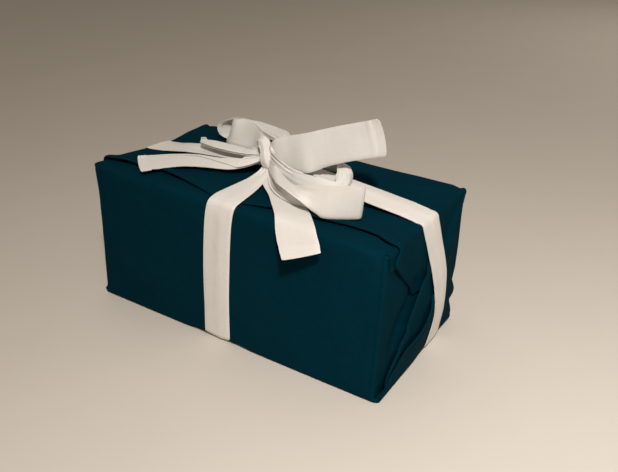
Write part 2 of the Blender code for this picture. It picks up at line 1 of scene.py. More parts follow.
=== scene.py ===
"""A gift box in one teal cotton cloth, tied both ways with a white cotton ribbon in a double bow.

All shapes are worked out in millimetres, in the frame of the CAD part: the origin is at the middle
of the underside, X runs along the box, Y from front to back and Z up. They become metres when a
mesh is made.
"""

import math

import bmesh
import bpy
import numpy as np
from bpy.props import FloatProperty, FloatVectorProperty, IntProperty, PointerProperty
from mathutils import Matrix, Vector


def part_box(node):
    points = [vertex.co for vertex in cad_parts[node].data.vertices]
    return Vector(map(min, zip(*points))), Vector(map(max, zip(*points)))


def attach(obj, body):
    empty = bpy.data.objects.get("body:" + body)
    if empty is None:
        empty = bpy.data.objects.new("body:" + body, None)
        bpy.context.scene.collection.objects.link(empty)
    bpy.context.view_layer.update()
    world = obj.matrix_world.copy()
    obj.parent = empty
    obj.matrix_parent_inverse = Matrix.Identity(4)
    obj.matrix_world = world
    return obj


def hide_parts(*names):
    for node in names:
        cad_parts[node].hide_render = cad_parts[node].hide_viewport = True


bl_info = {
    "name": "Cloth Gift Wrap",
    "version": (1, 0, 0),
    "blender": (4, 5, 0),
    "location": "View3D > Sidebar > Gift Wrap",
    "description": "Builds a box wrapped in cloth and tied with a ribbon in a double bow",
    "category": "Object",
}

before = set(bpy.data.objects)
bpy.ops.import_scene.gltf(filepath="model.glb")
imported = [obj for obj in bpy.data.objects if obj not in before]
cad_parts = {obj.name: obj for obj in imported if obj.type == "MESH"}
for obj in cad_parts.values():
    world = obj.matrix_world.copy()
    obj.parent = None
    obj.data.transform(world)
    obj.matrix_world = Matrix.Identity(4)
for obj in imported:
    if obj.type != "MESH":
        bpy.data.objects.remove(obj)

MM = 0.001

# The cloth's mesh: the distance between its points and the steps round a fold. What mirrors a
# path of x and a second coordinate to the other end.
MESH_STEP = 2.7
TURN_STEPS = 5
MIRROR = np.array((-1.0, 1.0))

# The wrapped box, in millimetres.
LENGTH = 300.0
WIDTH = 163.0
HEIGHT = 137.0
FOLD_RADIUS = 3.0
FACE_Y = WIDTH / 2 - 0.5
FACE_Z = HEIGHT - 0.5
FLOOR_Z = 0.5

# The carton: how round its edges are and how fine its mesh is.
BOARD_RADIUS = 5.5
BOARD_STEP = 4.0

# The cloth that is hidden under the top flap: its height, how far back it goes and where the
# corner tabs begin.
UNDERLAP_Z = FACE_Z - 1.6
UNDERLAP_REACH = 10.0
TAB_Y = -60.0

# How far out each layer of an end lies, from the side panels to the bottom flap, where the cloth
# along the box stops, and how far across the end the side panels reach.
SIDE_X = LENGTH / 2 - 2.0
TOP_FLAP_X = SIDE_X + 1.5
STRIP_X = SIDE_X + 3.3
BOTTOM_FLAP_X = SIDE_X + 5.2
STOP_X = SIDE_X - FOLD_RADIUS
SIDE_REACH = 60.0

# The flaps' edges: within what distance of an edge its lift fades, how far beside the lengthwise
# band it starts and reaches its full height, and how far the free edge on top stands off more.
LIFT_REACH = 16.0
LIFT_START = 15.0
LIFT_FADE = 9.0
FLAP_STAND = 1.5

# Folds and hems under an edge: the radius of the turn and how far the cloth then goes back, in
# which shares, how far from the flap's start a fold begins, over what distance its radius and its
# reach grow, and both at the top flap's back edge. From where the top flap's front fold gets
# deeper down the ends than its hem on top, and by how much.
UNDER_RADIUS = 0.75
UNDER_REACH = 9.0
HEM_REACH = 7.0
BACK_SHARES = (0.35, 0.7, 1.0)
UNDER_START = 8.0
RADIUS_GROWTH = 16.0
REACH_GROWTH = 20.0
TOP_GROWTH = 18.0
HEM_START = 2.0
HEM_DEEPER = 3.0

# The top flap and the strip: rows across, and the top flap's width of cloth. Past this x on top,
# with this fade before it, the top flap's free edge comes in to where it starts down the ends.
TOP_ROWS = 54
STRIP_ROWS = 40
TOP_CLOTH = 140.0
CORNER_X = 146.0
CORNER_FADE = 18.0

# The ripples down the ends: their height, pace across and slant, the middle and spread of the
# bell that they lie under, and at what height and over what height they fade out.
RIPPLE_HEIGHT = 0.55
RIPPLE_PACE = 1.15
RIPPLE_SLANT = 0.04
RIPPLE_Y = -48.0
RIPPLE_SPREAD = 11.0
RIPPLE_TOP = 132.0
RIPPLE_FADE = 8.0

# Where the slanting strip starts, how far over the bottom flap the lengthwise band lies, how much
# closer to the box it lies at the top, from what height over what height that grows, and from
# what height the girth band leans to the knot.
STRIP_FOOT = 6.0
BAND_OVER = 1.3
BAND_TAPER = 3.0
TAPER_FOOT = 70.0
TAPER_HEIGHT = 50.0
LEAN_FROM = 40.0

# How the ends swell: how far, from what height and over what height.
END_BULGE = 4.5
SWELL_FOOT = 4.0
SWELL_HEIGHT = 130.0

# How the box's edges are softened: how much smaller than the box the core is that they are pulled
# to, how much longer the way to it may be at the ends, the most they are pulled, and what share of
# that everywhere, at the uprights, at the ends of the top, along the front of the top, and at most.
CORE_INSET = 14.0
END_PLAY = 6.0
MOST_PULL = 5.0
SOFT_ALL = 0.10
SOFT_UPRIGHT = 0.40
SOFT_TOP_END = 0.15
SOFT_FRONT = 0.55
SOFT_MOST = 0.7

# Where the front of the top isn't softened: past this x, with this fade before it, and by this
# share and spread beside the girth band. Below this height no edge is softened fully.
SOFT_END_X = 140.0
SOFT_END_FADE = 40.0
GIRTH_HOLD = 0.85
GIRTH_SPREAD = 20.0
SOFT_LOW = 16.0

# The creases and slow waves: how much smaller than the box the core is that they move away from,
# the seed and length of the waves, at what height above the floor all this starts, over what
# height it grows, and how quickly a dent fades.
RELIEF_INSET = 30.0
WAVE_SEED = 5
WAVE_LENGTH = 60.0
RELIEF_FOOT = 1.0
RELIEF_FADE = 10.0
DENT_FADE = 1.4

# How the bands press the underside up: by how much, to what distance from a band, over what slope,
# half the lengthwise band's room, and up to what height with what fade below it.
PRESS_UP = 1.6
PRESS_REACH = 24.0
PRESS_FADE = 13.0
PRESS_HALF = 16.0
PRESS_TOP = 30.0
PRESS_TOP_FADE = 20.0

# The two bands: where their middles are and how wide they are, from what height and over what
# drop the lengthwise one slants, how far out they lie at the sides, on top and underneath, the
# radius of their turns, and how far apart their rows are.
GIRTH_X = -9.0
GIRTH_EDGE_X = -4.8
GIRTH_WIDTH = 27.4
LONG_Y = -3.0
LONG_Y_UNDER = 28.0
LONG_WIDTH = 31.0
SLANT_TOP = HEIGHT - 8.0
SLANT_DROP = HEIGHT - 40.0
BAND_SIDE = FACE_Y + 1.15
BAND_TOP = HEIGHT + 0.75
BAND_FLOOR = 0.55
BAND_TURN = FOLD_RADIUS + 1.15
BAND_STEP = 2.2

# The ribbon: the most layers it is folded into, how far apart they lie, the height of its pleats,
# the least width that it is drawn together to, how far its hem's seam is from the end, and how
# many points lie across the first layer, the second and each one behind them.
MOST_LAYERS = 3.2
LAYER_GAP = 1.15
PLEAT_HEIGHT = 0.6
LEAST_WIDTH = 4.0
HEM_SEAM = 9.0
ACROSS = (13, 9, 7)

# Across a strip, in widths: how wide a fold is, where the soft ridge lies and its spread. The
# heights of the slow waves and the curled edges, and how long a loop's turn takes, as a share.
FOLD_SHARE = 0.12
RIDGE_PLACE = 0.62
RIDGE_SPREAD = 0.09
SLOW_HEIGHT = 0.22
CURL_HEIGHT = 0.35
TURN_SHARE = 0.05

# Gathering starts at this many layers and is full this many further. A hemmed end: the depth and
# spread of its seam, how much the hem stands up, how far it bows out and how far its corners are
# drawn in, how much of each side the corners take, and how far from the end all this starts.
GATHER_FROM = 1.3
GATHER_OVER = 1.2
SEAM_DEPTH = 0.5
SEAM_SPREAD = 0.9
HEM_STAND = 0.35
HEM_BOW = 1.6
CORNER_DRAW = 1.3
CORNER_SHARE = 0.14
END_LENGTH = 12.0

# The bow: how far apart its rows are, and the share of the ribbon's thickness it is made with.
BOW_STEP = 1.8
BOW_THICKNESS = 0.85

# The knot's rolls: the steps round one, what its sideways direction is square to, and the heights
# of its wide and its fine grooves as shares of its size.
AROUND = 40
ROLL_FACING = (0.35, -0.9, 0.25)
WIDE_GROOVE = 0.09
FINE_GROOVE = 0.04

# The free edge of the top flap, from the left end to the right: how far forward it reaches,
# and how far it stands off the layer under it.
FLAP_EDGE = (
    # x, y, lift
    (-150, -64, 1.4),
    (-128, -62, 2.6),
    (-110, -59.5, 1),
    (-92, -58, 2.4),
    (-62, -62, 1.6),
    (-40, -66.5, 0.6),
    (-24, -70, -0.8),
    (10, -70, -0.8),
    (24, -67.5, 0.4),
    (36, -65, 1),
    (70, -61, 1.6),
    (110, -57, 1.2),
    (132, -60, 1.6),
    (150, -64, 2.6),
)

# The flaps of an end, by height: each flap's two slanting edges and how far they stand off.
TOP_FLAP = (
    # z, front y, back y, front lift, back lift
    (132.5, -65, 77, 2.8, 0.4),
    (126, -72, 67, 3.2, 2.4),
    (118, -67, 56, 2.6, 3.6),
    (105, -54, 43, 1.4, 4),
    (92, -41, 30, 1, 3.2),
    (80, -30, 22, 0.8, 1.4),
)
CORNER_TAB = (
    # z, front y, back y, front lift, back lift
    (131.2, -77, -60, 0, 0),
    (120, -77, -62, 0, 0),
)
UNDER_STRIP = (
    # z, front y, back y, front lift, back lift
    (4.5, -68, 74, 0, 0),
    (18, -62, 72, 0.6, 0),
    (34, -52, 66, 1.2, 0.3),
    (49, -44, 62, 2, 0.3),
    (61, -42, 56, 3.2, 0.3),
    (74, -34, 47, 3.6, 0.3),
    (88, -21, 33, 3.4, 0.3),
    (99, -8, 20, 2, 0.3),
    (105, 2, 12, 0.8, 0.3),
)
BOTTOM_FLAP = (
    # z, front y, back y, front lift, back lift
    (4.5, -77, 77, 0, 0),
    (12, -68, 79, 0.6, 0.4),
    (22, -55, 78, 1.6, 0.8),
    (34, -46, 71, 2.8, 0.8),
    (43, -27, 64, 3.4, 0.8),
    (56, -7, 54, 3, 0.6),
    (67, 8, 44, 1.6, 0.4),
    (76, 18, 34, 0.4, 0.2),
)

# The bands' runs into the knot: the girth band's two by depth, the lengthwise band's two by length.
GIRTH_FRONT = (
    # y, z, middle x, width
    (-8, 151, -5.5, 8),
    (-13, 149.5, -4.5, 9),
    (-21, 145.5, -3.2, 12.5),
    (-34, 142, -3.5, 17),
    (-46, 140.2, -3.7, 21),
    (-58, 139.1, -4, 24.5),
    (-70, 138.5, -4.4, 27),
)
GIRTH_BACK = (
    # y, z, middle x, width
    (44, 137.75, -9, 24),
    (30, 139.5, -9, 20),
    (17, 143, -9, 15),
    (2, 150, -9, 10),
)
BAND_RIGHT = (
    # x, z, width, how much higher the back edge is
    (-4, 152, 11, 0),
    (8, 152.2, 14, 0.3),
    (22, 152, 15, 0.6),
    (46, 150.4, 17, 1),
    (68, 146.6, 28, 1.3),
    (100, 142.9, 31, 1.3),
    (128, 140.2, 31, 1),
    (142, 138.8, 31, 0.6),
)
BAND_LEFT = (
    # x, z, width, how much higher the back edge is
    (-138, 137.75, 31, 0),
    (-126, 138.2, 29.5, 0.5),
    (-112, 140.2, 27.5, 1.5),
    (-98, 142.2, 25, 2.2),
    (-80, 143.8, 22, 1.6),
    (-62, 145, 19.5, 1),
    (-45, 146.2, 17, 0.5),
    (-28, 147.6, 14.5, 0),
    (-14, 149.4, 12, 0),
)

# Soft places in the cloth: where on the box each lies, how far it reaches and how far it moves.
DENTS = (
    # x, y, z, reach x, y, z, move x, y, z
    (-150, 8, 137, 26, 30, 18, 6.5, 0, -1.2),
    (150, -8, 137, 18, 24, 14, -1.6, 0, -0.8),
    (150, -81, 137, 20, 16, 16, -2, 2, -2.6),
    (150, 81, 22, 16, 18, 10, -4.5, -1, 0),
    (150, 81, 70, 16, 20, 30, 1.2, 0.8, 0),
    (156, -14, 40, 16, 24, 24, 4, 0, 0),
    (-152, -81, 137, 26, 24, 20, -3.2, -0.4, 1.8),
    (-9, -81, 137, 20, 16, 14, 0, 1, -1),
    (-9, 81, 137, 20, 16, 14, 0, -1, -1),
    (60, 10, 137, 60, 40, 12, 0, 0, -1.2),
    (-85, 30, 137, 50, 34, 12, 0, 0, -1.4),
    (60, -81, 60, 70, 12, 50, 0, -1.6, 0),
    (-80, -81, 66, 60, 12, 50, 0, -1.2, 0),
)

# Creases across the faces: from one point to another, how wide and how high (below 0, a trough).
CREASES = (
    # x, y, z, x, y, z, width, height
    (128, -81, 118, 150, -62, 96, 3.4, 1),
    (150, -62, 96, 152, -44, 78, 3, 0.8),
    (126, -81, 120, 96, -81, 108, 6, 0.5),
    (112, -81, 92, 118, -81, 14, 6, 0.45),
    (134, -81, 84, 136, -81, 8, 5, -0.45),
    (92, -81, 96, 90, -81, 20, 7, -0.35),
    (56, -81, 104, 58, -81, 12, 8, 0.35),
    (-60, -81, 124, -62, -81, 8, 7, -0.4),
    (-96, -81, 120, -94, -81, 20, 8, 0.35),
    (-132, -81, 126, -128, -81, 12, 7, -0.4),
    (150, -56, 40, 150, -50, 60, 6, -3.2),
    (150, -50, 60, 150, -24, 92, 6, -3.2),
    (150, 58, 78, 152, 44, 72, 3, 0.8),
    (150, 76, 60, 152, 52, 26, 4, 0.9),
    (96, -50, 137, 132, -54, 137, 5, 0.7),
    (118, -40, 137, 146, -46, 134, 4, 0.6),
    (-140, -40, 137, -96, -52, 137, 7, 0.6),
    (-118, 30, 137, -60, 44, 137, 9, 0.6),
    (96, 62, 137, 140, 40, 137, 8, 0.6),
    (-60, 81, 120, -40, 81, 14, 8, 0.5),
    (70, 81, 122, 86, 81, 20, 8, -0.5),
    (120, 81, 116, 140, 81, 60, 6, 0.5),
    (-150, -60, 100, -152, -34, 66, 4, 0.8),
    (-150, 64, 96, -152, 40, 60, 4, 0.8),
)

# The bow: each strip of ribbon by its two long edges, a row for each place where it bends.
TAIL_RIGHT = (
    # first edge x, y, z, other edge x, y, z
    (-9, -3, 151, -10, -2, 165),
    (3, -10, 149.5, -3, -4, 171.5),
    (18, -13, 149.5, 12, -4, 178),
    (36.8, -17, 153.1, 23, -5, 182),
    (46.5, -14, 157, 34, -5, 186.1),
    (58.4, -11, 163.5, 47, -4, 191.3),
    (81, -7, 172.3, 71, -4, 200.6),
    (103, 0, 178, 94.5, -4, 209.2),
)
LOOP_FRONT = (
    (-8, -8, 148, -7, -9, 160),
    (3, -23, 147, 4, -17, 160),
    (29.3, -51.3, 154, 14, -26, 155.5),
    (46.2, -62, 155, 29, -37, 153.5),
    (57.9, -66.2, 153, 45, -48, 154),
    (64.2, -65.5, 149.5, 58, -54, 159),
    (69, -63, 145, 69, -57, 162.5),
    (75.5, -62.5, 142, 78, -57, 164.5),
    (82, -62, 139.8, 87, -56, 166.3),
    (96, -54, 139.7, 98, -52, 168),
    (103.5, -48, 139.7, 105.6, -46, 166.8),
    (106, -44, 140, 107, -43, 165.6),
    (102.5, -42, 140.5, 103.6, -41, 164.6),
    (88, -47, 141, 89, -46, 162),
    (72, -55, 141, 72, -51, 157),
    (57, -55.1, 140.6, 57, -57, 151),
    (43, -53.9, 140.2, 44, -57.5, 153.5),
    (29, -48.9, 140.8, 30, -48.5, 152.5),
    (18, -41.5, 141.5, 17, -34, 151),
    (4.5, -26.5, 143, 7, -20, 150),
    (-7, -6, 147, -6, -5, 153),
)
LOOP_RIGHT = (
    (-6, -12, 152, -6, -10, 163),
    (14, -28, 149.5, 14, -25, 163),
    (36, -36, 146, 34, -33, 160.5),
    (52, -38, 143, 52, -32, 159),
    (62, -36, 141.5, 61, -28.5, 157.5),
    (73, -30, 140.5, 70, -24, 155.5),
    (77.5, -18, 144.5, 69, -18, 156),
    (74, -6, 146.6, 65, -12, 157.5),
    (69, 5, 147.2, 61, -5, 159),
    (62, 11, 147.6, 56.5, 2, 160),
    (52, 12, 148.2, 49, 9, 160.5),
    (38, 9, 149.4, 36, 8, 161),
    (20, 3, 151.2, 19, 4, 162),
    (4, -1, 152.4, 4, 0, 162),
    (-7, -2, 151, -7, -2, 161),
)
TAIL_FRONT = (
    (-11, -8, 149, -7, -6, 151),
    (-5, -17, 145, 3, -13, 146.5),
    (4.5, -34, 141.6, 17, -22, 143),
    (22, -50.5, 140.3, 41, -37, 140.3),
    (35, -65, 140, 64, -56, 140),
    (46, -77.5, 139.8, 76, -69, 140),
    (51, -83.5, 137, 85, -80, 140),
    (54.5, -87.5, 130.3, 90, -85.5, 137),
    (60.5, -93, 122.7, 94, -88, 131.5),
    (69, -99.5, 114.3, 97.5, -90.5, 125.6),
)
TAIL_LEFT = (
    (-11, -7, 151, -11, -5, 154),
    (-22, -19, 145.5, -29, -13, 149),
    (-36, -28, 142.5, -53, -18, 146),
    (-57, -36, 142, -80, -21, 144),
    (-76, -44, 140.6, -103, -31, 141.5),
    (-88, -59, 140, -114, -44, 141.5),
    (-97, -76, 140, -121, -55, 143),
)
TAIL_BACK = (
    (-10, -7, 155, -11, -2, 160),
    (-21, -12.5, 153.8, -25, -4, 155.6),
    (-33, -13.7, 152.5, -38, -2, 154),
    (-51, -13.5, 151.2, -56, 1, 152.7),
    (-70.6, -10.7, 150, -76, 2, 151.6),
    (-86, -6.5, 149, -90, 0.3, 150),
)
LOOP_LEFT = (
    (-11, 0, 152, -10, 0, 162),
    (-23, 4, 151.5, -28, 12, 166),
    (-39, 12, 149, -46, 25, 168),
    (-56, 16, 146.5, -62, 33, 169),
    (-74, 22, 143, -74, 32, 167),
    (-84, 33, 141, -79, 36, 166),
    (-76, 38, 142, -72, 42, 165),
    (-58, 34, 144, -56, 40, 164),
    (-34, 22, 148, -36, 26, 162),
    (-9, 1, 153, -9, 2, 162),
)
LOOP_BACK = (
    (-10, 0, 152, -7, 1, 152),
    (-50, 40, 141, -38, 56, 141),
    (-93, 43, 140.2, -76, 66, 140.2),
    (-103, 41, 147.5, -86, 64, 147),
    (-100, 42, 157, -84, 64, 155.5),
    (-80, 45, 164.5, -68, 57, 160.2),
    (-54, 38, 161.5, -50, 49, 162.8),
    (-34, 28, 161.5, -30, 40, 165),
    (-14, 16, 162, -8, 26, 168),
    (-6, 4, 158, 2, 10, 163),
)

# The strips of the bow: name, edges, how it is held, how round its hemmed end is, whether the
# first edge is the folded one, the crown's place, reach and height, and where a loop turns.
BOW = (
    ("raised_tail", TAIL_RIGHT, "hung", 1.2, True, None, None),
    ("front_loop", LOOP_FRONT, "gathered", 0.0, True, None, 0.50),
    ("right_loop", LOOP_RIGHT, "gathered", 0.0, True, (0.565, 0.095, -7.0), 0.56),
    ("front_tail", TAIL_FRONT, "hung", 0.3, False, None, None),
    ("left_tail", TAIL_LEFT, "hung", 0.5, False, None, None),
    ("back_tail", TAIL_BACK, "hung", 0.0, False, None, None),
    ("left_loop", LOOP_LEFT, "gathered", 0.0, True, None, 0.52),
    ("back_loop", LOOP_BACK, "gathered", 0.0, True, None, None),
)

# The knot's rolls: name, the points of the path, the widths and depths at them, and the pleats.
KNOT = (
    ("knot_roll",
     ((-16, 5, 158), (-17, -2, 164), (-14, -7.5, 166.6), (-10, -11, 166.4), (-7.4, -13.8, 162.5),
      (-5.4, -15, 158), (-3.4, -15.5, 153), (-2.6, -13.5, 148), (-4, -8, 144.5)),
     (2, 9, 12, 11.5, 8, 10.5, 10.5, 7.5, 2), (2, 8, 10.5, 10, 7, 9, 8.5, 6, 2), 5),
    ("knot_core",
     ((-9, -4, 141), (-9, -4, 146), (-9, -4, 153), (-10, -4, 160), (-10, -3, 165)),
     (2, 15, 18, 15, 2), (2, 14, 16, 13, 2), 6),
)

# The stage, in metres. The lights: name, place, what each points at, its share of the power, its
# size, its spread in degrees and its colour. The camera's turn is its azimuth, elevation and roll.
LIGHTS = (
    ("key", (0.50, -0.69, 1.06), (0.50, -0.02, 0.0), 0.435, 0.12, 110.0, (1.0, 0.96, 0.91)),
    ("side", (1.10, -1.00, 0.45), (0.25, -0.05, 0.05), 0.13, 0.90, 180.0, (1.0, 0.95, 0.90)),
    ("far", (0.9, 2.0, 1.3), (0.7, 2.2, 0.0), 0.45, 1.6, 140.0, (1.0, 0.94, 0.86)),
    ("ceiling", (-0.9, 0.3, 2.2), (0.0, 0.0, 0.08), 0.25, 1.6, 180.0, (1.0, 0.92, 0.80)),
)
ROOM_COLOUR = (1.0, 0.88, 0.72, 1.0)
FLOOR_HALF = 9.0
CAMERA_PLACE = (0.3226, -0.4970, 0.3687)
CAMERA_TURN = (30.15, 26.25, 3.01)
CAMERA_LENS = 40.61


# ---------------------------------------------------------------- settings


class ClothSettings(bpy.types.PropertyGroup):
    """Sizes and colours of the wrapping cloth."""

    colour: FloatVectorProperty(
        name="Cloth colour", description="Colour of the dyed thread", subtype="COLOR", size=4,
        default=(0.0002, 0.022, 0.036, 1.0), min=0.0, max=1.0)
    shade: FloatVectorProperty(
        name="Cloth shade", description="Colour between the threads", subtype="COLOR", size=4,
        default=(0.0001, 0.011, 0.018, 1.0), min=0.0, max=1.0)
    thickness: FloatProperty(
        name="Cloth thickness", description="Thickness of one layer of cloth",
        default=0.8 * MM, min=0.2 * MM, max=1.0 * MM, unit="LENGTH", precision=5)
    thread: FloatProperty(
        name="Thread spacing", description="Distance from one thread of the cloth to the next",
        default=0.55 * MM, min=0.2 * MM, max=3.0 * MM, unit="LENGTH", precision=5)
    waves: FloatProperty(
        name="Soft waves", description="Height of the slow waves in the faces",
        default=0.35 * MM, min=0.0, max=2.0 * MM, unit="LENGTH", precision=5)


class RibbonSettings(bpy.types.PropertyGroup):
    """Sizes and colours of the ribbon."""

    colour: FloatVectorProperty(
        name="Ribbon colour", description="Colour of the undyed thread", subtype="COLOR", size=4,
        default=(0.69, 0.665, 0.632, 1.0), min=0.0, max=1.0)
    shade: FloatVectorProperty(
        name="Ribbon shade", description="Colour between the threads", subtype="COLOR", size=4,
        default=(0.60, 0.56, 0.515, 1.0), min=0.0, max=1.0)
    width: FloatProperty(
        name="Ribbon width", description="Width of the ribbon laid flat",
        default=32.0 * MM, min=20.0 * MM, max=36.0 * MM, unit="LENGTH", precision=4)
    thickness: FloatProperty(
        name="Ribbon thickness", description="Thickness of the folded ribbon",
        default=0.9 * MM, min=0.3 * MM, max=1.2 * MM, unit="LENGTH", precision=5)
    pleats: IntProperty(
        name="Pleats", description="Pleats that gather the ribbon at the knot",
        default=3, min=1, max=6)
    thread: FloatProperty(
        name="Thread spacing", description="Distance from one thread of the ribbon to the next",
        default=0.65 * MM, min=0.2 * MM, max=3.0 * MM, unit="LENGTH", precision=5)


class StageSettings(bpy.types.PropertyGroup):
    """Floor, lights and camera."""

    floor: FloatVectorProperty(
        name="Floor colour", description="Colour of the plain floor", subtype="COLOR", size=4,
        default=(0.63, 0.577, 0.515, 1.0), min=0.0, max=1.0)
    key: FloatProperty(
        name="Key light", description="Power of the main light",
        default=17.0, min=0.0, max=500.0, unit="POWER")
    fill: FloatProperty(
        name="Fill light", description="Strength of the light from all round",
        default=0.22, min=0.0, max=5.0)


# ---------------------------------------------------------------- small tools


def columns(table, *indices):
    """Some columns of a table, side by side as an array; a single one is a flat array."""
    picked = np.array([[row[index] for index in indices] for row in table], float)
    return picked[:, 0] if len(indices) == 1 else picked


def grid_of(*parts):
    """Coordinates joined to one grid: each part is spread over the rows or columns that it lacks."""
    return np.stack(np.broadcast_arrays(*parts), axis=-1).astype(float)


def ease(value):
    """A smooth step: 0 below 0, 1 above 1, with no corner at either."""
    share = np.clip(value, 0.0, 1.0)
    return share * share * (3.0 - 2.0 * share)


def bell(value):
    """A bell curve of height 1 at 0."""
    return np.exp(-0.5 * value ** 2)


def curve_at(places, where, values):
    """Values of a smooth curve through points: cubic pieces with the slope of the two neighbours."""
    order = np.argsort(where)
    knots, heights = np.asarray(where, float)[order], np.asarray(values, float)[order]
    slopes = np.gradient(heights, knots)
    spots = np.clip(places, knots[0], knots[-1])
    index = np.clip(np.searchsorted(knots, spots, side="right") - 1, 0, len(knots) - 2)
    span = knots[index + 1] - knots[index]
    share = (spots - knots[index]) / span
    square, cube = share ** 2, share ** 3
    return (
        (2 * cube - 3 * square + 1) * heights[index]
        + (cube - 2 * square + share) * span * slopes[index]
        + (3 * square - 2 * cube) * heights[index + 1]
        + (cube - square) * span * slopes[index + 1]
    )


def arc(centre, radius, start, end, steps=TURN_STEPS):
    """Points of an arc in a plane, from the start angle to the end angle in degrees."""
    angle = np.radians(np.linspace(start, end, steps + 1))
    return np.column_stack([centre[0] + radius * np.cos(angle), centre[1] + radius * np.sin(angle)])


def line(start, end, step=MESH_STEP):
    """Points of a straight run, evenly spaced and no further apart than the step."""
    count = max(1, math.ceil(math.dist(start, end) / step))
    return np.linspace(start, end, count + 1)


def chain(*runs):
    """Runs of points end to end, each run's first point being the last one's end."""
    return np.vstack([runs[0]] + [run[1:] for run in runs[1:]])


def distance_along(points):
    """How far along a run of points each one is."""
    steps = np.linalg.norm(np.diff(points, axis=0), axis=-1)
    return np.concatenate([[0.0], np.cumsum(steps)])


def unit(vectors):
    """Vectors made one long."""
    return vectors / np.maximum(np.linalg.norm(vectors, axis=-1, keepdims=True), 1e-9)


def waves(points, seed, length):
    """Slow uneven waves through space: a sum of sines in directions drawn once from the seed."""
    draw = np.random.default_rng(seed)
    total = np.zeros(points.shape[:-1])
    for octave in range(3):
        for _ in range(4):
            way = unit(draw.normal(size=3))
            phase = draw.uniform(0.0, 2.0 * math.pi)
            pace = 2.0 * math.pi / (length / (1.7 ** octave) * draw.uniform(0.8, 1.25))
            total += np.sin(points @ way * pace + phase) / (1.8 ** octave) / 4.0
    return total


# ---------------------------------------------------------------- meshes


def mesh_from(name, patches, merge):
    """A mesh of grids of points with the cloth's own coordinates.

    Points that are closer than merge, in millimetres, are welded, so grids join where they meet.
    """
    points = np.concatenate([patch[0].reshape(-1, 3) for patch in patches]) * MM
    cloth = np.concatenate([patch[1].reshape(-1, 2) for patch in patches]) * MM
    quads, start = [], 0
    for grid, _ in patches:
        rows, across = grid.shape[:2]
        index = start + np.arange(rows * across).reshape(rows, across)
        corners = (index[:-1, :-1], index[:-1, 1:], index[1:, 1:], index[1:, :-1])
        quads.append(np.stack(corners, axis=-1).reshape(-1, 4))
        start += rows * across
    quads = np.concatenate(quads)
    mesh = bpy.data.meshes.new(name)
    mesh.from_pydata(points.tolist(), [], quads.tolist())
    layer = mesh.uv_layers.new(name="cloth")
    layer.data.foreach_set("uv", cloth[quads.reshape(-1)].reshape(-1))
    shape = bmesh.new()
    shape.from_mesh(mesh)
    bmesh.ops.remove_doubles(shape, verts=shape.verts, dist=merge * MM)
    bmesh.ops.dissolve_degenerate(shape, edges=shape.edges, dist=merge * MM)
    bmesh.ops.recalc_face_normals(shape, faces=shape.faces)
    shape.to_mesh(mesh)
    shape.free()
    return mesh


def sheet_piece(name, patches, thickness, finish):
    """A sheet of cloth: the welded grids given a thickness, smooth, with sharp cut edges."""
    made = bpy.data.objects.new(name, mesh_from(name, patches, 0.01))
    bpy.context.scene.collection.objects.link(made)
    thick = made.modifiers.new("thickness", "SOLIDIFY")
    thick.thickness = thickness
    thick.offset = 0.0
    thick.thickness_clamp = 1.0
    bpy.context.view_layer.update()
    graph = bpy.context.evaluated_depsgraph_get()
    mesh = bpy.data.meshes.new_from_object(made.evaluated_get(graph))
    made.modifiers.clear()
    made.data = mesh
    mesh.name = name
    mesh.shade_smooth()
    mesh.set_sharp_from_angle(angle=math.radians(55.0))
    mesh.materials.clear()
    mesh.materials.append(finish)
    return made


def solid_piece(name, patches, finish):
    """A smooth body from grids of points that close it: the carton or a roll of the knot."""
    made = bpy.data.objects.new(name, mesh_from(name, patches, 0.02))
    bpy.context.scene.collection.objects.link(made)
    made.data.shade_smooth()
    made.data.materials.append(finish)
    return made


# ---------------------------------------------------------------- finishes


def node(tree, kind, place, inputs=(), **settings):
    """A node of a material. Each input has its name or number and a value or what feeds it."""
    made = tree.nodes.new(kind)
    made.location = place
    for name, value in settings.items():
        setattr(made, name, value)
    for socket, value in inputs:
        if isinstance(value, bpy.types.NodeSocket):
            tree.links.new(value, made.inputs[socket])
        else:
            made.inputs[socket].default_value = value
    return made


def worked_out(tree, operation, place, *inputs, **settings):
    """What a Math node makes of its inputs in turn."""
    made = node(tree, "ShaderNodeMath", place, enumerate(inputs), operation=operation, **settings)
    return made.outputs[0]


def noise(tree, place, source, scale, detail, roughness, distortion=0.0):
    """What a Noise Texture node makes of some coordinates."""
    return node(tree, "ShaderNodeTexNoise", place, (
        ("Vector", source), ("Scale", scale), ("Detail", detail), ("Roughness", roughness),
        ("Distortion", distortion))).outputs[0]


def stretched(tree, place, source, scale):
    """Coordinates stretched along each axis."""
    return node(tree, "ShaderNodeMapping", place, (("Vector", source), ("Scale", scale))).outputs[0]


def relief(tree, place, height, strength, distance, *under):
    """The normal of a bump, of a distance in millimetres, on top of the bump under it."""
    return node(tree, "ShaderNodeBump", place, (
        ("Height", height), ("Strength", strength), ("Distance", distance * MM),
        *(("Normal", normal) for normal in under))).outputs[0]


def mixed(tree, place, share, first, second):
    """A mix of two colours."""
    inputs = (("Factor", share), ("A", first), ("B", second))
    return node(tree, "ShaderNodeMix", place, inputs, data_type="RGBA").outputs["Result"]


def new_finish(name, colour, roughness):
    """A new material and its shader."""
    made = bpy.data.materials.new(name)
    made.use_nodes = True
    made.diffuse_color = colour
    shader = made.node_tree.nodes["Principled BSDF"]
    shader.inputs["Base Color"].default_value = colour
    shader.inputs["Roughness"].default_value = roughness
    return made, shader


def finished(made, shader, colour, normal):
    """The material with what feeds its shader's colour and, if any, its normal."""
    made.node_tree.links.new(colour, shader.inputs["Base Color"])
    if normal is not None:
        made.node_tree.links.new(normal, shader.inputs["Normal"])
    return made


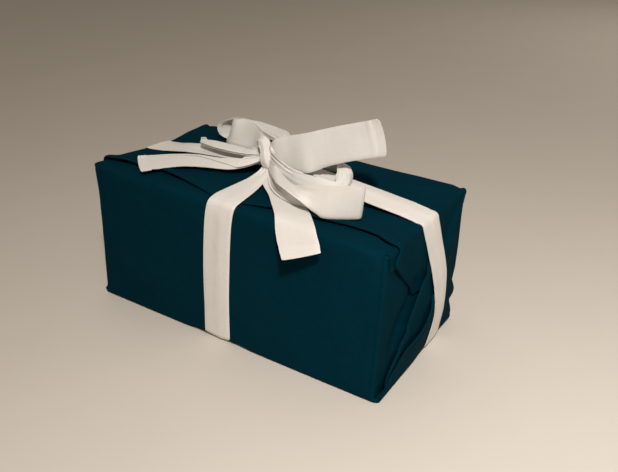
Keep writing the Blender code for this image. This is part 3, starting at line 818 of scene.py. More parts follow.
def woven_finish(name, settings, crumple, sheen, sheen_tint, gloss):
    """Woven cotton: crossing threads, uneven yarn, slow colour changes and soft crumpling."""
    colour, shade = tuple(settings.colour), tuple(settings.shade)
    made, shader = new_finish(name, colour, 0.82)
    shader.inputs["Sheen Weight"].default_value = sheen
    shader.inputs["Sheen Roughness"].default_value = 0.45
    shader.inputs["Sheen Tint"].default_value = sheen_tint
    shader.inputs["Specular IOR Level"].default_value = gloss
    tree = made.node_tree
    cloth = node(tree, "ShaderNodeUVMap", (-1500, 0), uv_map="cloth").outputs[0]
    threads = node(tree, "ShaderNodeSeparateXYZ", (-1320, 0), ((0, cloth),)).outputs
    ribs, yarns = [], []
    for axis, stretch in enumerate(((60.0, 900.0, 1.0), (900.0, 60.0, 1.0))):
        rib_y, yarn_y = -160 * axis, -400 - 320 * axis
        count = worked_out(tree, "MULTIPLY", (-1140, rib_y), threads[axis], math.pi / settings.thread)
        ribs.append(worked_out(tree, "SINE", (-980, rib_y), count))
        spread = stretched(tree, (-1320, yarn_y), cloth, stretch)
        yarns.append(noise(tree, (-1140, yarn_y), spread, 1.0, 3.0, 0.6))
    over = worked_out(tree, "MULTIPLY", (-820, -80), *ribs)
    weave = worked_out(tree, "MULTIPLY_ADD", (-660, -80), over, 0.5, 0.5)
    slub = worked_out(tree, "ADD", (-900, -500), *yarns)
    place = node(tree, "ShaderNodeTexCoord", (-1500, -1050)).outputs["Object"]
    slow = noise(tree, (-1140, -1050), place, 14.0, 4.0, 0.55)
    tone = worked_out(tree, "MULTIPLY_ADD", (-720, -500), slub, 0.55, -0.30)
    drift = worked_out(tree, "MULTIPLY_ADD", (-720, -760), slow, 0.7, -0.10)
    tone = worked_out(tree, "ADD", (-540, -560), tone, drift)
    tone = worked_out(tree, "MULTIPLY_ADD", (-380, -420), weave, 0.35, tone, use_clamp=True)
    folds = noise(tree, (-1140, -1350), place, 55.0, 3.0, 0.5, 0.6)
    soft = relief(tree, (-380, -900), folds, 1.0, crumple)
    yarn = relief(tree, (-200, -900), slub, 0.8, 0.10, soft)
    thread = relief(tree, (-20, -900), weave, 0.5, 0.08, yarn)
    return finished(made, shader, mixed(tree, (-200, -200), tone, shade, colour), thread)


def board_finish(name):
    """Brown box board: fine fibres and slow stains."""
    made, shader = new_finish(name, (0.33, 0.21, 0.12, 1.0), 0.75)
    tree = made.node_tree
    place = node(tree, "ShaderNodeTexCoord", (-900, 0)).outputs["Object"]
    spread = stretched(tree, (-720, 0), place, (40.0, 600.0, 600.0))
    fibre = noise(tree, (-540, 0), spread, 1.0, 5.0, 0.7)
    ramp = node(tree, "ShaderNodeValToRGB", (-340, 0), ((0, fibre),))
    ramp.color_ramp.elements[0].color = (0.25, 0.15, 0.08, 1.0)
    ramp.color_ramp.elements[1].color = (0.42, 0.28, 0.17, 1.0)
    return finished(made, shader, ramp.outputs[0], relief(tree, (-200, -260), fibre, 0.4, 0.1))


def floor_finish(name, colour):
    """A plain matt floor, very slightly mottled."""
    made, shader = new_finish(name, colour, 0.6)
    tree = made.node_tree
    place = node(tree, "ShaderNodeTexCoord", (-700, 0)).outputs["Object"]
    mottle = noise(tree, (-520, 0), place, 9.0, 5.0, 0.6)
    darker = tuple(0.93 * value for value in colour[:3]) + (1.0,)
    return finished(made, shader, mixed(tree, (-240, 0), mottle, colour, darker), None)


# ---------------------------------------------------------------- how the whole parcel gives


def long_band_y(x, z):
    """The middle of the lengthwise band: straight on top, slanting to the back down the right end."""
    down = np.clip((SLANT_TOP - z) / SLANT_DROP, 0.0, 1.0)
    right = np.clip((x + LENGTH / 2) / LENGTH, 0.0, 1.0)
    return LONG_Y + (LONG_Y_UNDER - LONG_Y) * down * right


def press_up(x, y):
    """How far the underside is pressed up where a band of ribbon runs under the box."""
    across = np.abs(x - GIRTH_X) - GIRTH_WIDTH / 2
    along = np.abs(y - long_band_y(x, 0.0)) - PRESS_HALF
    return PRESS_UP * np.clip((PRESS_REACH - np.minimum(across, along)) / PRESS_FADE, 0.0, 1.0)


def away_from_core(points, inset):
    """The way out of the box: from the nearest point of a smaller box inside it."""
    half = np.array((LENGTH / 2, WIDTH / 2, HEIGHT / 2)) - inset
    middle = np.array((0.0, 0.0, HEIGHT / 2))
    return points - (middle + np.clip(points - middle, -half, half))


def crease_field(points):
    """The height of the creases: across each one a bell curve, fading at its two ends."""
    total = np.zeros(points.shape[:-1])
    for row in np.array(CREASES, float):
        start, end, width, height = row[:3], row[3:6], row[6], row[7]
        run = end - start
        share = ((points - start) @ run) / (run @ run)
        nearest = start + np.clip(share, 0.0, 1.0)[..., None] * run
        gap = np.linalg.norm(points - nearest, axis=-1)
        fade = ease(share * 4.0 + 0.6) * ease((1.0 - share) * 4.0 + 0.6)
        total += height * bell(gap / width) * fade
    return total


def dress(points, wave_height):
    """Moves points of the plain box, cloth or bands alike, as soft cloth gives.

    In turn: the ends swell by a sine up them and a cosine across, the box's edges are softened by
    pulling points towards a rounder core, creases and slow waves move them along the way out, the
    dents move them each its own way, and the underside is pressed up over the bands. An edge is
    softened the most along the front of the top, less at the uprights and the least at the ends
    of the top, and not where the girth band holds it taut or close to the floor.
    """
    moved = np.array(points, float)
    x, y, z = moved[..., 0], moved[..., 1], moved[..., 2]
    at_end = np.clip((np.abs(x) - STOP_X) / FOLD_RADIUS, 0.0, 1.0)
    swell = np.sin(math.pi * np.clip((z - SWELL_FOOT) / SWELL_HEIGHT, 0.0, 1.0))
    swell = END_BULGE * swell * np.cos(math.pi * np.clip(y / (WIDTH + 1.0), -0.5, 0.5))
    moved[..., 0] += np.sign(x) * at_end * swell
    away = away_from_core(moved, CORE_INSET)
    way = unit(away)
    upwards = np.clip(way[..., 2], 0.0, 1.0)
    front_top = np.clip(-way[..., 1], 0.0, 1.0) * upwards * 2.0
    upright = np.abs(way[..., 0]) * np.abs(way[..., 1]) * 2.0
    top_end = np.abs(way[..., 0]) * upwards * 2.0
    inner = ease((SOFT_END_X - np.abs(moved[..., 0])) / SOFT_END_FADE)
    tight = 1.0 - GIRTH_HOLD * bell((moved[..., 0] - GIRTH_EDGE_X) / GIRTH_SPREAD)
    soften = (
        SOFT_ALL + SOFT_FRONT * front_top * inner * tight + SOFT_UPRIGHT * upright
        + SOFT_TOP_END * top_end)
    soften = np.clip(soften, 0.0, SOFT_MOST) * ease(z / SOFT_LOW)
    excess = np.maximum(np.linalg.norm(away, axis=-1) - CORE_INSET - END_PLAY * at_end, 0.0)
    moved -= way * (np.minimum(excess, MOST_PULL) * soften)[..., None]
    outward = unit(away_from_core(moved, RELIEF_INSET))
    height = crease_field(moved) + wave_height * waves(moved, WAVE_SEED, WAVE_LENGTH)
    moved += outward * height[..., None] * ease((z - RELIEF_FOOT) / RELIEF_FADE)[..., None]
    for row in np.array(DENTS, float):
        gap = (np.array(points) - row[:3]) / row[3:6]
        moved += bell(np.linalg.norm(gap, axis=-1) * DENT_FADE)[..., None] * row[6:]
    low = np.clip((PRESS_TOP - moved[..., 2]) / PRESS_TOP_FADE, 0.0, 1.0)
    moved[..., 2] += low * press_up(moved[..., 0], moved[..., 1])
    return moved


def dress_board(points):
    """Moves the board's points as the parcel gives, but never further out of its ends."""
    change = dress(points, 0.0) - points
    outwards = np.sign(change[..., 0]) == np.sign(points[..., 0])
    change[..., 0] = np.where(outwards, 0.0, change[..., 0])
    return points + change


def board_patches(low, high):
    """The carton's six faces: points crowded towards the edges, which are rounded.

    Each point is drawn to a core box and set out from there by the edge's radius.
    """
    half, middle = (high - low) / 2, (high + low) / 2
    patches = []
    for axis in range(3):
        others = [other for other in range(3) if other != axis]
        counts = [max(8, int(half[other] / BOARD_STEP)) for other in others]
        spread = [np.sin(np.linspace(-math.pi / 2, math.pi / 2, count)) for count in counts]
        for way in (-1.0, 1.0):
            parts = [way * half[axis]] * 3
            parts[others[0]] = (spread[0] * half[others[0]])[:, None]
            parts[others[1]] = spread[1] * half[others[1]]
            grid = grid_of(*parts)
            core = np.clip(grid, BOARD_RADIUS - half, half - BOARD_RADIUS)
            rounded = core + unit(grid - core) * BOARD_RADIUS
            patches.append((dress_board(rounded + middle), rounded[..., others]))
    return patches


# ---------------------------------------------------------------- the wrapping cloth


def wrap_section():
    """The section of the wrapped cloth: its hidden underlap, the front, the underside and the back.

    Returns its points of y and z, and the rows of the corner tab, front, bottom and back panels.
    """
    fold = FOLD_RADIUS
    side, low, under_top, top = FACE_Y - fold, FLOOR_Z + fold, UNDERLAP_Z - fold, FACE_Z - fold
    runs = (
        line((UNDERLAP_REACH, UNDERLAP_Z), (TAB_Y, UNDERLAP_Z), 6.0),
        line((TAB_Y, UNDERLAP_Z), (-side, UNDERLAP_Z)),
        arc((-side, under_top), fold, 90, 180),
        line((-FACE_Y, under_top), (-FACE_Y, low)),
        arc((-side, low), fold, 180, 270),
        line((-side, FLOOR_Z), (side, FLOOR_Z), 4.0),
        arc((side, low), fold, 270, 360),
        line((FACE_Y, low), (FACE_Y, top), 3.4),
        arc((side, top), fold, 0, 90),
    )
    ends = np.cumsum([len(run) - 1 for run in runs])
    places = {"tab": 1, "front": 3, "bottom": 5, "back": 7}
    panels = {name: slice(ends[place - 1], ends[place] + 1) for name, place in places.items()}
    return chain(*runs), panels


def tube_patch(section, stations):
    """The cloth around the box but its top flap: the section's points by the stations along X."""
    grid = grid_of(stations, section[:, :1], section[:, 1:])
    return grid, grid_of(stations, distance_along(section)[:, None])


def path_out(path, downwards):
    """The outward direction at each point of an end's path of x and z."""
    run = np.gradient(path, axis=0)
    turned = np.column_stack([-run[:, 1], run[:, 0]])
    return unit(turned if downwards else -turned)


def flap_path(level, out_x, tip):
    """A flap's path of x and z: over the box's edge at a level, round it and on to the tip's height."""
    turn_x = out_x - FOLD_RADIUS
    way = math.copysign(1.0, tip - level)
    turned = level + way * FOLD_RADIUS
    return chain(
        line((STOP_X, level), (turn_x, level), 10.0),
        arc((turn_x, turned), FOLD_RADIUS, -90 * way, 0),
        line((out_x, turned), (out_x, tip)),
    )


def flap_patch(path, out, edges, rows, cloth_start, cloth_rows, end=1.0):
    """A flap: across its path from the front edge to the back edge, each edge standing off.

    edges holds front y, back y, front lift and back lift along the path. rows are the shares
    across, from 0 at the front to 1 at the back. A lift fades away from its edge, and towards
    the band that holds the flap down. end is -1 for a flap that is then mirrored to the left
    end, where the band runs straight down.
    """
    front, back, front_lift, back_lift = edges
    share = rows[:, None]
    width = np.maximum(back - front, 1.0)
    y = front * (1 - share) + back * share
    near_front = ease(1.0 - share * width / LIFT_REACH)
    near_back = ease(1.0 - (1.0 - share) * width / LIFT_REACH)
    beside = np.abs(y - long_band_y(end * path[:, 0], path[:, 1])) - LIFT_START
    stand = (front_lift * near_front + back_lift * near_back) * ease(beside / LIFT_FADE)
    grid = grid_of(path[:, 0] + out[:, 0] * stand, y, path[:, 1] + out[:, 1] * stand)
    return grid, grid_of(cloth_start + distance_along(path), cloth_rows[:, None])


def turned_under(edge, out, way, radius, reach, cloth_edge):
    """The hem or fold under an edge: a half turn round a small radius, then back underneath.

    By the angle of the turn, a point lies radius * sin(angle) beyond the edge and
    radius * (1 - cos(angle)) under it. Then it goes back by shares of the reach. way is -1
    for a front edge and 1 for a back edge.
    """
    angle = np.radians(np.linspace(0.0, 180.0, 5))[:, None]
    back = np.array(BACK_SHARES)[:, None]
    beyond = np.vstack([radius * np.sin(angle), -reach * back])
    under = np.vstack([radius * (1 - np.cos(angle)), radius * np.full(back.shape, 2.0)])
    grid = edge + beyond[..., None] * np.array((0.0, way, 0.0)) - under[..., None] * out
    steps = np.arange(len(beyond))[:, None] * 1.2
    return grid, grid_of(cloth_edge[:, 0], cloth_edge[:, 1] + way * steps)


def flap_edges(path, table):
    """A flap's two edges and their lifts along its path, from its table by height."""
    return [curve_at(path[:, 1], columns(table, 0), columns(table, index)) for index in range(1, 5)]


def mirrored(patches):
    """The same patches at the other end of the box."""
    return [(grid * np.array((-1.0, 1.0, 1.0)), cloth * MIRROR) for grid, cloth in patches]


def corner_patch(side_edge, flap_edge, centre):
    """Closes a corner of the box between a side flap's edge and another flap's edge.

    About the corner's centre in the plane across the box, the angle goes evenly from one edge
    to the other while the distance and x go from the one's to the other's.
    """
    turn = np.linspace(0.0, math.pi / 2, TURN_STEPS + 1)[:, None]
    share = np.linspace(0.0, 1.0, TURN_STEPS + 1)[:, None]
    side_out = side_edge[:, 1] - centre[0]
    flap_out = flap_edge[:, 2] - centre[1]
    distance = np.abs(side_out) * (1 - share) + np.abs(flap_out) * share
    grid = grid_of(
        side_edge[:, 0] * (1 - share) + flap_edge[:, 0] * share,
        centre[0] + np.sign(side_out[0]) * distance * np.cos(turn),
        centre[1] + np.sign(flap_out[0]) * distance * np.sin(turn),
    )
    return grid, grid_of(grid[..., 0], grid[..., 1] + grid[..., 2])


def side_flap_patch(heights, side_y, cloth_rows):
    """A side panel's extension, turned in round the upright edge and laid on the end."""
    edge = abs(side_y)
    path = chain(
        arc((STOP_X, edge - FOLD_RADIUS), FOLD_RADIUS, 90, 0, TURN_STEPS + 1),
        line((SIDE_X, edge - FOLD_RADIUS), (SIDE_X, edge - SIDE_REACH)),
    )
    grid = grid_of(path[:, 0], math.copysign(1.0, side_y) * path[:, 1], heights[:, None])
    return grid, grid_of(STOP_X + distance_along(path), cloth_rows[:, None])


def end_flap(section, rows, level, out_x, table, shares, end):
    """A flap that grows out of some rows of the section and goes round the box's edge at a level.

    Returns its patch, its path and the way out along it.
    """
    tip = table[-1][0]
    path = flap_path(level, out_x, tip)
    out = path_out(path, level > tip)
    across = np.linspace(*shares, len(section[rows]))
    patch = flap_patch(
        path, out, flap_edges(path, table), across, STOP_X, distance_along(section)[rows], end)
    patch[0][:, 0, 1] = section[rows, 0]
    return patch, path, out


def end_patches(section, panels, end):
    """The folded cloth of an end, at the right: side flaps, tab, bottom flap, corners and strip.

    Also returns the edge of the back side flap, where the top flap's corner joins it.
    """
    length = distance_along(section)
    front, back = (
        side_flap_patch(section[panels[name], 1], side_y, length[panels[name]])
        for name, side_y in (("front", -FACE_Y), ("back", FACE_Y)))
    tab, _, _ = end_flap(
        section, panels["tab"], UNDERLAP_Z, TOP_FLAP_X, CORNER_TAB, (1.0, 0.0), end)
    bottom, path, out = end_flap(
        section, panels["bottom"], FLOOR_Z, BOTTOM_FLAP_X, BOTTOM_FLAP, (0.0, 1.0), end)
    side, low, turned = FACE_Y - FOLD_RADIUS, FLOOR_Z + FOLD_RADIUS, slice(TURN_STEPS + 2)
    corners = (
        (front[0][-1, turned], bottom[0][0, turned], (-side, low)),
        (back[0][0, turned], bottom[0][-1, turned], (side, low)),
        (front[0][0, turned], tab[0][-1, turned], (-side, UNDERLAP_Z - FOLD_RADIUS)),
    )
    patches = [front, back, tab, bottom, *folded_edges(bottom, out, distance_along(path))]
    patches.extend(corner_patch(*corner) for corner in corners)
    patches.extend(strip_patches(end))
    return patches, back[0][-1, turned]


def folded_edges(flap, out, away):
    """The folds under a flap's two slanting edges, growing with the distance along the flap."""
    grid, cloth = flap
    radius = UNDER_RADIUS * ease((away - UNDER_START) / RADIUS_GROWTH)
    reach = UNDER_REACH * ease((away - UNDER_START) / REACH_GROWTH)
    outward = grid_of(out[:, 0], 0.0, out[:, 1])
    return [
        turned_under(grid[row], outward, way, radius, reach, cloth[row])
        for row, way in ((0, -1.0), (-1, 1.0))]


def strip_patches(end):
    """The cloth's second layer at an end, which shows as a strip beside the bottom flap.

    Its folds grow four times as fast as the other flaps', because it starts under the box's edge.
    """
    path = line((STRIP_X, STRIP_FOOT), (STRIP_X, UNDER_STRIP[-1][0]))
    out = np.tile(np.array((1.0, 0.0)), (len(path), 1))
    rows = np.linspace(0.0, 1.0, STRIP_ROWS)
    strip = flap_patch(path, out, flap_edges(path, UNDER_STRIP), rows, 40.0, rows * 90.0, end)
    return [strip, *folded_edges(strip, out, distance_along(path) * 4.0)]


def tip_to_tip(down, level, flip=1.0):
    """Values along the top flap: up the left end, over the level run and down the right end."""
    return np.concatenate([(down[::-1] * flip)[:-1], level, down[1:]])


def ripple(y, z):
    """Small ripples down the ends beside the top flap's front edge: a sine across under a bell."""
    across = np.sin(y * RIPPLE_PACE + RIPPLE_SLANT * z)
    bulge = bell((y - RIPPLE_Y) / RIPPLE_SPREAD)
    return RIPPLE_HEIGHT * across * bulge * ease((RIPPLE_TOP - z) / RIPPLE_FADE)


def top_patches(stations, section, corner_edge):
    """The top flap: one sheet from the left end over the top to the right end, with its hem.

    Its back edge meets the back panel, and its front edge is free: it is turned under as a
    narrow hem along the top, and as a fold down each end.
    """
    down = flap_path(FACE_Z, TOP_FLAP_X, TOP_FLAP[-1][0])
    level, flat = grid_of(stations, FACE_Z), np.zeros(len(stations))
    path = tip_to_tip(down, level, MIRROR)
    out = tip_to_tip(path_out(down, True), grid_of(flat, 1.0), MIRROR)
    edge_x = columns(FLAP_EDGE, 0)
    edges_level = (
        curve_at(stations, edge_x, columns(FLAP_EDGE, 1)),
        flat + (FACE_Y - FOLD_RADIUS),
        curve_at(stations, edge_x, columns(FLAP_EDGE, 2)) + FLAP_STAND,
        flat,
    )
    edges_down = flap_edges(down, TOP_FLAP)
    edges = [tip_to_tip(*pair) for pair in zip(edges_down, edges_level)]
    beyond = np.abs(path[:, 0]) - (CORNER_X - CORNER_FADE)
    near_end = ease(beyond / CORNER_FADE) * (path[:, 1] > FACE_Z - 0.01)
    edges[0] = edges[0] * (1 - near_end) + edges_down[0][0] * near_end
    rows = np.linspace(0.0, 1.0, TOP_ROWS)
    start = -distance_along(path)[len(down) - 1] + stations[0]
    cloth_rows = distance_along(section)[-1] + (1.0 - rows) * TOP_CLOTH
    grid, cloth = flap_patch(path, out, edges, rows, start, cloth_rows)
    grid[..., 0] += np.sign(grid[..., 0]) * ripple(grid[..., 1], grid[..., 2])
    outward = grid_of(out[:, 0], 0.0, out[:, 1])
    up = distance_along(down[::-1])[::-1]
    away = np.concatenate([up[:-1], flat, distance_along(down)[1:]])
    hem_reach = HEM_REACH + HEM_DEEPER * ease((away - HEM_START) / REACH_GROWTH)
    radius = np.full(len(path), UNDER_RADIUS)
    patches = [(grid, cloth), turned_under(grid[0], outward, -1.0, radius, hem_reach, cloth[0])]
    first = len(down) + len(level) - 2
    for part in (slice(0, len(down)), slice(first, None)):
        grow = ease((away[part] - UNDER_START) / TOP_GROWTH)
        patches.append(turned_under(
            grid[-1, part], outward[part], 1.0, UNDER_RADIUS * grow, UNDER_REACH * grow, cloth[-1, part]))
    turned = grid[-1, first:first + TURN_STEPS + 2]
    corner = corner_patch(corner_edge, turned, (FACE_Y - FOLD_RADIUS, FACE_Z - FOLD_RADIUS))
    return [*patches, corner, *mirrored([corner])]


def wrap_patches(wave_height):
    """All the patches of the wrapping cloth, moved as the parcel gives."""
    section, panels = wrap_section()
    stations = line((-STOP_X, 0.0), (STOP_X, 0.0))[:, 0]
    right, corner_edge = end_patches(section, panels, 1.0)
    left, _ = end_patches(section, panels, -1.0)
    patches = [
        tube_patch(section, stations), *right, *mirrored(left),
        *top_patches(stations, section, corner_edge)]
    return [(dress(grid, wave_height), cloth) for grid, cloth in patches]


# ---------------------------------------------------------------- the ribbon


def smooth_rows(table, steps):
    """A smooth curve through a table's rows, Catmull-Rom, with the given steps between rows."""
    rows = np.array(table, float)
    padded = np.vstack([2 * rows[0] - rows[1], rows, 2 * rows[-1] - rows[-2]])
    share = np.linspace(0.0, 1.0, steps, endpoint=False)[:, None]
    pieces = []
    for index in range(1, len(rows)):
        before, start, end, after = padded[index - 1:index + 3]
        pieces.append(
            0.5 * (2 * start + (end - before) * share
                   + (2 * before - 5 * start + 4 * end - after) * share ** 2
                   + (3 * start - before - 3 * end + after) * share ** 3)
        )
    return np.vstack(pieces + [rows[-1:]])


def middle_of(rows):
    """The middle line between a strip's two edges."""
    return (rows[:, :3] + rows[:, 3:]) / 2


def evenly(rows, step):
    """Rows spaced evenly by the distance along their middle line."""
    along = distance_along(middle_of(rows))
    spots = np.linspace(0.0, along[-1], max(2, math.ceil(along[-1] / step)) + 1)
    return np.column_stack([np.interp(spots, along, rows[:, index]) for index in range(6)])


def folded_share(layers):
    """Places across a strip, in widths: closer at the folds, and fewer in the layers behind."""
    runs = []
    for index in range(layers):
        inner = 0.5 - 0.5 * np.cos(np.linspace(0.0, math.pi, ACROSS[min(index, 2)]))
        runs.append(index + inner[: None if index == layers - 1 else -1])
    return np.concatenate(runs)


def ribbon_patch(rows, settings, seed, ridge=0.0, hem=0.0, fold_first=False, crown=None, turn=None):
    """A strip of ribbon between two edges, with what is left of its width folded behind.

    Across the strip, the way goes from one edge to the other and back again behind it, as often
    as the ribbon's width asks: a triangle wave, each layer a little further back. The point is
    then moved along the strip's normal by small pleats where it is gathered, a soft ridge, slow
    waves and the crown, where the strip bulges between its edges. Past the turn of a loop the
    folded width goes to the other side. A hemmed end bows out a little and has rounded corners.
    """
    draw = np.random.default_rng(seed)
    first, other, behind = rows[:, :3], rows[:, 3:], 1.0
    if fold_first:
        first, other, behind = other, first, -1.0
    middle = middle_of(rows)
    along = distance_along(middle)
    run = unit(np.gradient(middle, axis=0))
    normal = unit(np.cross(run, other - first))
    width = np.maximum(np.linalg.norm(other - first, axis=-1), LEAST_WIDTH)
    most = np.clip(settings.width / MM / width, 1.0, MOST_LAYERS)
    layers = int(math.ceil(most.max()))
    place = np.minimum(folded_share(layers)[:, None], most)
    share = np.where(place % 2.0 > 1.0, 2.0 - place % 2.0, place % 2.0)
    depth = sum(ease((place - index) / FOLD_SHARE + 0.5) for index in range(1, layers + 1))
    gathered = ease((most - GATHER_FROM) / GATHER_OVER)
    phase = draw.uniform(0.0, 2.0 * math.pi) + 0.012 * along * draw.uniform(-1.0, 1.0)
    warp = share + 0.05 * np.sin(2.0 * math.pi * share + draw.uniform(0.0, 6.0))
    pleat = PLEAT_HEIGHT * gathered * np.sin(2.0 * math.pi * settings.pleats * warp + phase)
    soft = ridge * bell((share - RIDGE_PLACE) / RIDGE_SPREAD) * (0.7 + 0.3 * np.sin(along / 23.0 + seed))
    slow = SLOW_HEIGHT * np.sin(along / 13.0 + 3.0 * share + seed) * np.sin(math.pi * share) ** 0.5
    curl = CURL_HEIGHT * (2.0 * share - 1.0) ** 2 * np.sin(along / 31.0 + seed * 1.7)
    if turn is not None:
        behind = behind * (1.0 - 2.0 * ease((along / along[-1] - turn) / TURN_SHARE + 0.5))
    lift = pleat + soft + slow + curl - behind * LAYER_GAP * depth
    if hem:
        left = along[-1] - along
        seam = SEAM_DEPTH * bell((left - HEM_SEAM) / SEAM_SPREAD)
        lift = lift - seam + HEM_STAND * ease((HEM_SEAM - left) / 1.2)
    if crown is not None:
        at, reach, height = crown
        rounded = np.clip(4.0 * share * (1.0 - share), 0.0, 1.0) ** 0.8
        lift = lift + height * bell((along / along[-1] - at) / reach) * rounded
    grid = first * (1 - share[..., None]) + other * share[..., None] + normal * lift[..., None]
    if hem:
        side = np.abs(2.0 * share - 1.0)
        corner = ease((side - 1.0 + CORNER_SHARE) / CORNER_SHARE)
        bow = hem * (HEM_BOW * (1.0 - side ** 2) - CORNER_DRAW * corner ** 2)
        grid = grid + run[-1] * (bow * ease((END_LENGTH - left) / END_LENGTH))[..., None]
    return grid, grid_of(along, place * width)


def band_rows(centre, across, widths):
    """The rows of a band: its middle line, its crosswise direction and its widths."""
    half = widths[:, None] / 2 * np.array(across, float)
    return np.hstack([centre - half, centre + half])


def girth_rows():
    """The band round the middle of the box, from the front of the knot under the box to its back.

    It hangs straight down the front, leans a little towards the knot near the top edge, and
    draws together and rises where it runs into the knot.
    """
    front, back = columns(GIRTH_FRONT, 0, 1), columns(GIRTH_BACK, 0, 1)
    side, low, high = BAND_SIDE - BAND_TURN, BAND_FLOOR + BAND_TURN, BAND_TOP - BAND_TURN
    path = chain(
        front,
        line(front[-1], (-side, BAND_TOP)),
        arc((-side, high), BAND_TURN, 90, 180),
        line((-BAND_SIDE, high), (-BAND_SIDE, low)),
        arc((-side, low), BAND_TURN, 180, 270),
        line((-side, BAND_FLOOR), (side, BAND_FLOOR)),
        arc((side, low), BAND_TURN, 270, 360),
        line((BAND_SIDE, low), (BAND_SIDE, high)),
        arc((side, high), BAND_TURN, 0, 90),
        line((side, BAND_TOP), back[0]),
        back,
    )
    table = np.vstack([
        columns(GIRTH_FRONT, 0, 2, 3),
        (-BAND_SIDE, GIRTH_EDGE_X, GIRTH_WIDTH),
        (BAND_SIDE, GIRTH_X, GIRTH_WIDTH),
        columns(GIRTH_BACK, 0, 2, 3),
    ])
    places, centres, widths = table[np.argsort(table[:, 0])].T
    y, z = path.T
    on_top = z > high
    lean = np.clip((z - LEAN_FROM) / (BAND_TOP - LEAN_FROM), 0.0, 1.0) ** 3
    x = np.where(on_top, np.interp(y, places, centres), GIRTH_X)
    x = np.where((y < 0.0) & ~on_top, GIRTH_X + (GIRTH_EDGE_X - GIRTH_X) * lean, x)
    width = np.where(on_top, np.interp(y, places, widths), GIRTH_WIDTH)
    return band_rows(np.column_stack([x, path]), (1.0, 0.0, 0.0), width)


def end_path(end):
    """The lengthwise band's path of x and z down one end, over the folds, from top to bottom."""
    edge, foot = TOP_FLAP_X - FOLD_RADIUS + 0.4, BOTTOM_FLAP_X - FOLD_RADIUS
    low, high = BAND_FLOOR + BAND_TURN, BAND_TOP - BAND_TURN
    heights = np.linspace(124.0, 14.0, 30)
    taper = BAND_TAPER * ease((heights - TAPER_FOOT) / TAPER_HEIGHT)
    down = np.column_stack([BOTTOM_FLAP_X + BAND_OVER - taper, heights])
    path = chain(
        arc((edge, high), BAND_TURN, 90, 0),
        np.vstack([[(edge + BAND_TURN, high)], down, [(foot + BAND_TURN, low)]]),
        arc((foot, low), BAND_TURN, 0, -90),
    )
    return path * (end, 1.0)


def long_rows():
    """The lengthwise band, from the right of the knot over the right end, under, and up the left.

    Near the knot it rises off the box, draws together and tilts, by the tables of its two runs.
    """
    right, left = end_path(1.0), end_path(-1.0)[::-1]
    run_right, run_left = columns(BAND_RIGHT, 0, 1), columns(BAND_LEFT, 0, 1)
    path = chain(
        run_right,
        line(run_right[-1], right[0]),
        right,
        line(right[-1], left[0]),
        left,
        line(left[-1], run_left[0]),
        run_left,
    )
    x, z = path.T
    places, wide, tilt = np.vstack([columns(BAND_LEFT, 0, 2, 3), columns(BAND_RIGHT, 0, 2, 3)]).T
    above = z > BAND_TOP - 0.01
    widths = np.where(above, np.interp(x, places, wide), LONG_WIDTH)
    rows = band_rows(np.column_stack([x, long_band_y(x, z), z]), (0.0, 1.0, 0.0), widths)
    rows[:, 5] += np.where(above, np.interp(x, places, tilt), 0.0)
    return rows


def dressed_rows(rows, wave_height):
    """A band's rows, moved as the parcel under it gives."""
    return np.hstack([dress(rows[:, :3], wave_height), dress(rows[:, 3:], wave_height)])


def roll_patch(points, widths, depths, pleats, seed):
    """A roll of gathered ribbon along a path: an oval section with pleats running along it.

    By the angle round the path, a point lies half the width * cosine sideways and half the
    depth * sine outwards, both times a groove factor: one and two sines of the pleats' angle.
    """
    draw = np.random.default_rng(seed)
    points = np.array(points, float)
    path = smooth_rows(points, 8)
    share = np.linspace(0.0, 1.0, len(path))
    places = np.linspace(0.0, 1.0, len(points))
    width, depth = curve_at(share, places, widths), curve_at(share, places, depths)
    run = unit(np.gradient(path, axis=0))
    sideways = unit(np.cross(run, np.array(ROLL_FACING)))
    out = unit(np.cross(sideways, run))
    angle = np.linspace(0.0, 2.0 * math.pi, AROUND + 1)[:, None]
    phase = draw.uniform(0.0, 6.0)
    wide = WIDE_GROOVE * np.sin(pleats * angle + phase + 1.5 * share)
    groove = 1.0 + wide + FINE_GROOVE * np.sin((2 * pleats + 1) * angle - phase + 4.0 * share)
    grid = path + (
        sideways * (width / 2 * groove * np.cos(angle))[..., None]
        + out * (depth / 2 * groove * np.sin(angle))[..., None]
    )
    return grid, grid_of(distance_along(path), angle * 6.0)


# ---------------------------------------------------------------- operators


def ribbon_finish(context):
    """The ribbon's finish, made once."""
    made = bpy.data.materials.get("undyed_cotton")
    if made is None:
        settings = context.scene.giftwrap_ribbon
        made = woven_finish("undyed_cotton", settings, 0.5, 0.10, (1.0, 0.97, 0.92, 1.0), 0.25)
    return made


def ribbon_strip(context, name, rows, seed, thickness_share, **shape):
    """A strip of ribbon between two edges as a piece, and its length along the middle in metres."""
    settings = context.scene.giftwrap_ribbon
    patch = ribbon_patch(rows, settings, seed, **shape)
    made = sheet_piece(name, [patch], settings.thickness * thickness_share, ribbon_finish(context))
    return made, float(distance_along(middle_of(rows))[-1]) * MM


class GIFTWRAP_OT_carton(bpy.types.Operator):
    """Make the board box that the cloth is folded around"""

    bl_idname = "giftwrap.carton"
    bl_label = "Carton"

    def execute(self, context):
        low, high = (np.array(corner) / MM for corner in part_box("gift_box"))
        made = solid_piece("carton", board_patches(low, high), board_finish("kraft_board"))
        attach(made, "root")
        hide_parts("gift_box")
        return {"FINISHED"}


